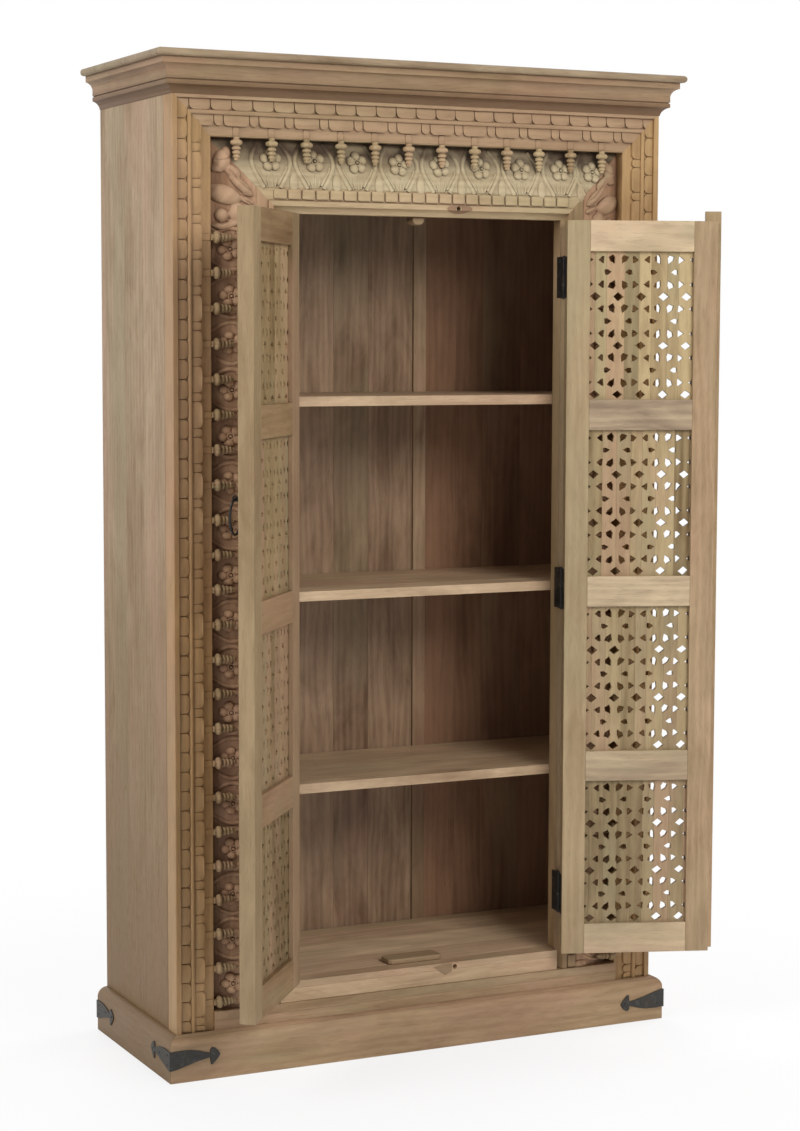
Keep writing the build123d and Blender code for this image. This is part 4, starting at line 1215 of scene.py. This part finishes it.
def hoop(radius, wire, squash, lie, axis, steps):
    """A closed ring of wire: its radius, the wire's, and how the wire's section is widened and turned."""
    bm = bmesh.new()
    place = Matrix.Diagonal((squash, 1, 1, 1)) @ Matrix.Translation((0, 0, radius)) @ lie
    bmesh.ops.create_circle(bm, segments=8, radius=wire, matrix=place)
    return spun(bm, axis, steps)


def ring_eye():
    """Rosette, shank and eye of a ring pull, pointing to -Y."""
    bm = turned(((0, 0), (0, 9), (0.7, 9), (1.6, 7.4), (2.5, 6.8), (2.6, 4.4), (3.4, 3.2), (3.6, 0)), 20)
    placed(bm, turn(-90))
    add_shape(bm, slab((-1.7, -10.8, -2.3), (1.7, -2.0, 2.3), 0.6, 1))
    add_shape(bm, hoop(4.3, 1.35, 1.4, turn(90, "X"), X, 20), Matrix.Translation((0, -15, 0)))
    return bm


class CabinetIronwork(bpy.types.Operator):
    """Forges the hinges, their pins and screws, the ring pulls and the corner straps"""
    bl_idname = "cabinet.ironwork"
    bl_label = "Ironwork"

    def execute(self, context):
        black = iron()
        grey = iron("Strap Iron", colour(62, 61, 58))
        self.hinges(black)
        for hand in ("right", "left"):
            ring = hoop(30.5, 2.25, 1.0, turn(90, "Y"), Y, 36)
            for node, bm, place, crease in (("door_%s_ring", ring, RING_PLACE, 60),
                                            ("door_%s_ring_eye", ring_eye(), EYE_PLACE, 50)):
                placed(bm, door_place(hand) @ Matrix.Translation(place))
                stand_in(node % hand, ".forged", bm, black, crease)
        self.straps(grey)
        return {"FINISHED"}

    def hinges(self, black):
        """Leaves, knuckles, pins and screws; the screws in the case face those of a shut door."""
        for node, *_ in LEAVES:
            softened(node, black, 0.0003)
        axis = Matrix.Translation(HINGE_AXIS)
        for node, name, _, span, _, _, hand in LEAVES:
            bm = bmesh.new()
            for level in HINGE_LEVELS:
                for side in sides_of(hand):
                    add_shape(bm, knuckle(*span), side @ axis @ Matrix.Translation((0, 0, level)))
            finished(name, bm, node, black, 50)
        pins = bmesh.new()
        for level in HINGE_LEVELS:
            for side in sides_of(None):
                add_shape(pins, hinge_pin(), side @ axis @ Matrix.Translation((0, 0, level)))
        stand_in("hinge_pins", ".turned", pins, black, 50)
        dice = random.Random(17)
        for node, _, name, _, face, facing, hand in LEAVES:
            bm = bmesh.new()
            for level in HINGE_LEVELS:
                for up, back in SCREWS:
                    for side in sides_of(hand):
                        add_shape(bm, screw_head(3.0, dice.uniform(0, math.pi)),
                                  side @ Matrix.Translation((face, back, level + up)) @ facing)
            finished(name, outward(bm), node, black, 40)

    def straps(self, grey):
        """Straps that wrap the plinth's corners and end in a barbed arrow."""
        arrow = plate([(u, v, 0) for u, v in STRAP], (0, 0, STRAP_THICK))
        for u, v in NAILS:
            nail = turned(((1.6, 0), (1.6, 2.6), (2.6, 2.0), (3.1, 0.9), (3.2, 0)), 10)
            add_shape(arrow, nail, Matrix.Translation((u, v, 0)) @ UPENDED)
        front = (STRAP_X, STRAP_FRONT, STRAP_LEVEL)
        lays = (stood(front, BACK_X), stood(front, Y, Z, X),
                stood((STRAP_X, STRAP_BACK, STRAP_LEVEL), BACK_Y, Z, X))
        bm = bmesh.new()
        # The irons on the left have their straight edge on top, those on the right below.
        for mirror, flip in ((Matrix(), Matrix.Scale(-1, 4, Y)), (MIRROR, Matrix())):
            for lay in lays:
                add_shape(bm, arrow.copy(), mirror @ lay @ flip)
            add_shape(bm, slab((STRAP_X, STRAP_FRONT - STRAP_THICK, STRAP_LEVEL - STRAP_HALF),
                               (STRAP_X + STRAP_THICK, STRAP_FRONT, STRAP_LEVEL + STRAP_HALF)), mirror)
        arrow.free()
        stand_in("corner_straps", ".forged", outward(bm), grey, 40)


# ---------------------------------------------------------------- small repairs

PLUG = ((22, 148), (34, 138.5), (46, 130.5), (60.5, 136), (60.5, 151.8), (42, 152))
INLAY_PLACE = (69.0, 0, 1544.0)


def boat():
    """Boat-shaped inlay round a peg hole, lying flat."""
    bm = bmesh.new()
    bmesh.ops.create_circle(bm, segments=28, radius=4.6)
    inner = bm.edges[:]
    for vert in bmesh.ops.create_circle(bm, segments=28, radius=1.0)["verts"]:
        way = math.atan2(vert.co.y, vert.co.x)
        vert.co = (25.5 * math.cos(way), 8.8 * math.sin(way) * (1 - 0.25 * abs(math.cos(way)) ** 3), 0)
    rims = bm.edges[:]
    bmesh.ops.bridge_loops(bm, edges=rims)
    spokes = [edge for edge in bm.edges if edge not in rims]
    bmesh.ops.subdivide_edges(bm, edges=spokes, cuts=5, use_grid_fill=True)
    return thickened(bm, bm.faces[:], (0, 0, 0.7))


class CabinetInlays(bpy.types.Operator):
    """Lets a boat-shaped piece of darker wood into the lintel round its peg hole, and a plug into the sill"""
    bl_idname = "cabinet.inlays"
    bl_label = "Inlays"

    def execute(self, context):
        inlay = Ground("lintel").drape(boat(), stood(INLAY_PLACE))
        plug = Ground("sill").drape(plate([(u, v, -0.5) for u, v in PLUG], (0, 0, 1.0)), stood((0, 0, 0)))
        finished("sill_plug", plug, "sill",
                 timber("plug", "carved", X, Z, 64.0, light=(164, 136, 106), dark=(112, 84, 60)), 50)
        finished("lintel_inlay", inlay, "lintel",
                 timber("inlay", "carved", X, Z, 63.0, light=(150, 118, 92), dark=(96, 70, 52)), 50)
        return {"FINISHED"}


# ---------------------------------------------------------------- stage

# Soft round lamps: place, level aimed at, size and power.
LAMPS = (("key", (0.55, -3.9, 2.9), 0.85, 1.9, 98), ("fill", (-3.4, -1.1, 3.0), 1.3, 2.0, 80),
         ("rim", (3.4, 0.9, 2.4), 1.0, 2.2, 64), ("back", (0.6, 3.9, 2.4), 0.9, 2.4, 80))
CAMERA_PLACE = (-2.02034, -4.24197, 1.3154)
CAMERA_TURN = (25.846, 5.257, 0.171)    # degrees to the right, down and over
CAMERA_LENS, CAMERA_SENSOR = 79.58, 36.0
WHITE = (1.0, 1.0, 1.0)
# The floor shows as white, but for a share of its soft shadow near the cabinet.
FLOOR_GLOW = (0.55, 1.8, 0.78, 1.0)


class CabinetStage(bpy.types.Operator):
    """Sets the floor, the soft lights and the camera"""
    bl_idname = "cabinet.stage"
    bl_label = "Stage"

    def execute(self, context):
        scene = context.scene
        scene.view_settings.view_transform = "Standard"
        floor = bmesh.new()
        bmesh.ops.create_grid(floor, x_segments=1, y_segments=1, size=9.0)
        bmesh.ops.translate(floor, vec=(0, 0, -0.0003), verts=floor.verts)
        ground = linked("floor", mesh_of(floor, "floor"))
        ground.data.materials.append(self.floor_finish())
        self.sky(scene)
        for lamp in LAMPS:
            self.lamp(*lamp)
        self.camera(scene)
        return {"FINISHED"}

    def floor_finish(self):
        material, sheet, shader, position = new_material("Floor")
        pale = sheet.blend(sheet.noise(position, 3.0, 2.0), (0.90, 0.90, 0.90), (0.93, 0.93, 0.93))
        sheet.feed_all(shader.inputs, {"Base Color": pale, "Roughness": 0.9, "Specular IOR Level": 0.0})
        glow = sheet.node("ShaderNodeEmission", {"Color": WHITE, "Strength": 1.0})
        seen = sheet.node("ShaderNodeLightPath").outputs["Is Camera Ray"]
        away = sheet.vector("MULTIPLY", position, (1.0, 1.0, 0.0))
        distance = sheet.node("ShaderNodeVectorMath", {0: away}, operation="LENGTH").outputs["Value"]
        mix = sheet.node("ShaderNodeMixShader", {0: sheet.times(seen, sheet.window(distance, *FLOOR_GLOW)),
                                                 1: shader.outputs[0], 2: glow.outputs[0]})
        sheet.feed(material.node_tree.nodes["Material Output"].inputs["Surface"], mix.outputs[0])
        return material

    def sky(self, scene):
        world = bpy.data.worlds.new("Studio")
        scene.world = world
        world.use_nodes = True
        sheet = Sheet(world.node_tree)
        path = sheet.node("ShaderNodeLightPath").outputs
        shown = sheet.calc("MAXIMUM", sheet.calc("MAXIMUM", path["Is Camera Ray"], path["Is Glossy Ray"]),
                           path["Is Transmission Ray"])
        dim = world.node_tree.nodes["Background"]
        sheet.feed_all(dim.inputs, {"Color": WHITE, "Strength": 0.3})
        white = sheet.node("ShaderNodeBackground", {"Color": WHITE, "Strength": 1.0})
        mix = sheet.node("ShaderNodeMixShader", {0: shown, 1: dim.outputs[0], 2: white.outputs[0]})
        sheet.feed(world.node_tree.nodes["World Output"].inputs["Surface"], mix.outputs[0])

    def lamp(self, name, place, level, size, power):
        light = bpy.data.lights.new(name, "AREA")
        light.shape = "DISK"
        light.size = size
        light.energy = power
        holder = linked(name, light)
        way = Vector((0.0, 0.0, level)) - Vector(place)
        holder.matrix_world = Matrix.Translation(place) @ way.to_track_quat("-Z", "Y").to_matrix().to_4x4()
        holder.visible_camera = False
        holder.visible_glossy = False

    def camera(self, scene):
        lens = bpy.data.cameras.new("camera")
        lens.sensor_fit = "VERTICAL"
        lens.sensor_height = CAMERA_SENSOR
        lens.lens = CAMERA_LENS
        lens.clip_end = 60.0
        yaw, pitch, roll = (math.radians(degrees) for degrees in CAMERA_TURN)
        ahead = Vector((math.sin(yaw) * math.cos(pitch), math.cos(yaw) * math.cos(pitch), -math.sin(pitch)))
        right = Vector((math.cos(yaw), -math.sin(yaw), 0))
        up = right.cross(ahead)
        side = right * math.cos(roll) + up * math.sin(roll)
        top = up * math.cos(roll) - right * math.sin(roll)
        holder = linked("camera", lens)
        holder.matrix_world = (Matrix.Translation(CAMERA_PLACE)
                               @ Matrix((side, top, -ahead)).transposed().to_4x4())
        scene.camera = holder


# ---------------------------------------------------------------- add-on

GROUPS = (("Carving", "cabinet_carving", CabinetCarving), ("Lattice", "cabinet_lattice", CabinetLattice),
          ("Finish", "cabinet_finish", CabinetFinish))
STEPS = (CabinetStage, CabinetBoards, CabinetOuterFrame, CabinetFrieze, CabinetInnerFrame, CabinetBosses,
         CabinetLatticePanels, CabinetIronwork, CabinetInlays)


class CabinetPanel(bpy.types.Panel):
    """Sizes, finishes and building steps of the cabinet"""
    bl_idname = "VIEW3D_PT_cabinet"
    bl_label = "Lattice Door Cabinet"
    bl_space_type = "VIEW_3D"
    bl_region_type = "UI"
    bl_category = "Cabinet"

    def draw(self, context):
        for title, kind, _ in GROUPS:
            box = self.layout.box()
            box.label(text=title)
            group = getattr(context.scene, kind)
            for key in group.bl_rna.properties.keys():
                if key not in {"rna_type", "name"}:
                    box.prop(group, key)
        column = self.layout.column(align=True)
        for step in STEPS:
            column.operator(step.bl_idname)


def register():
    for _, key, group in GROUPS:
        bpy.utils.register_class(group)
        setattr(bpy.types.Scene, key, PointerProperty(type=group))
    for step in STEPS:
        bpy.utils.register_class(step)
    bpy.utils.register_class(CabinetPanel)


def unregister():
    bpy.utils.unregister_class(CabinetPanel)
    for step in reversed(STEPS):
        bpy.utils.unregister_class(step)
    for _, key, group in reversed(GROUPS):
        delattr(bpy.types.Scene, key)
        bpy.utils.unregister_class(group)


def main():
    register()
    for step in STEPS:
        family, name = step.bl_idname.split(".")
        getattr(getattr(bpy.ops, family), name)()


if __name__ == "__main__":
    main()
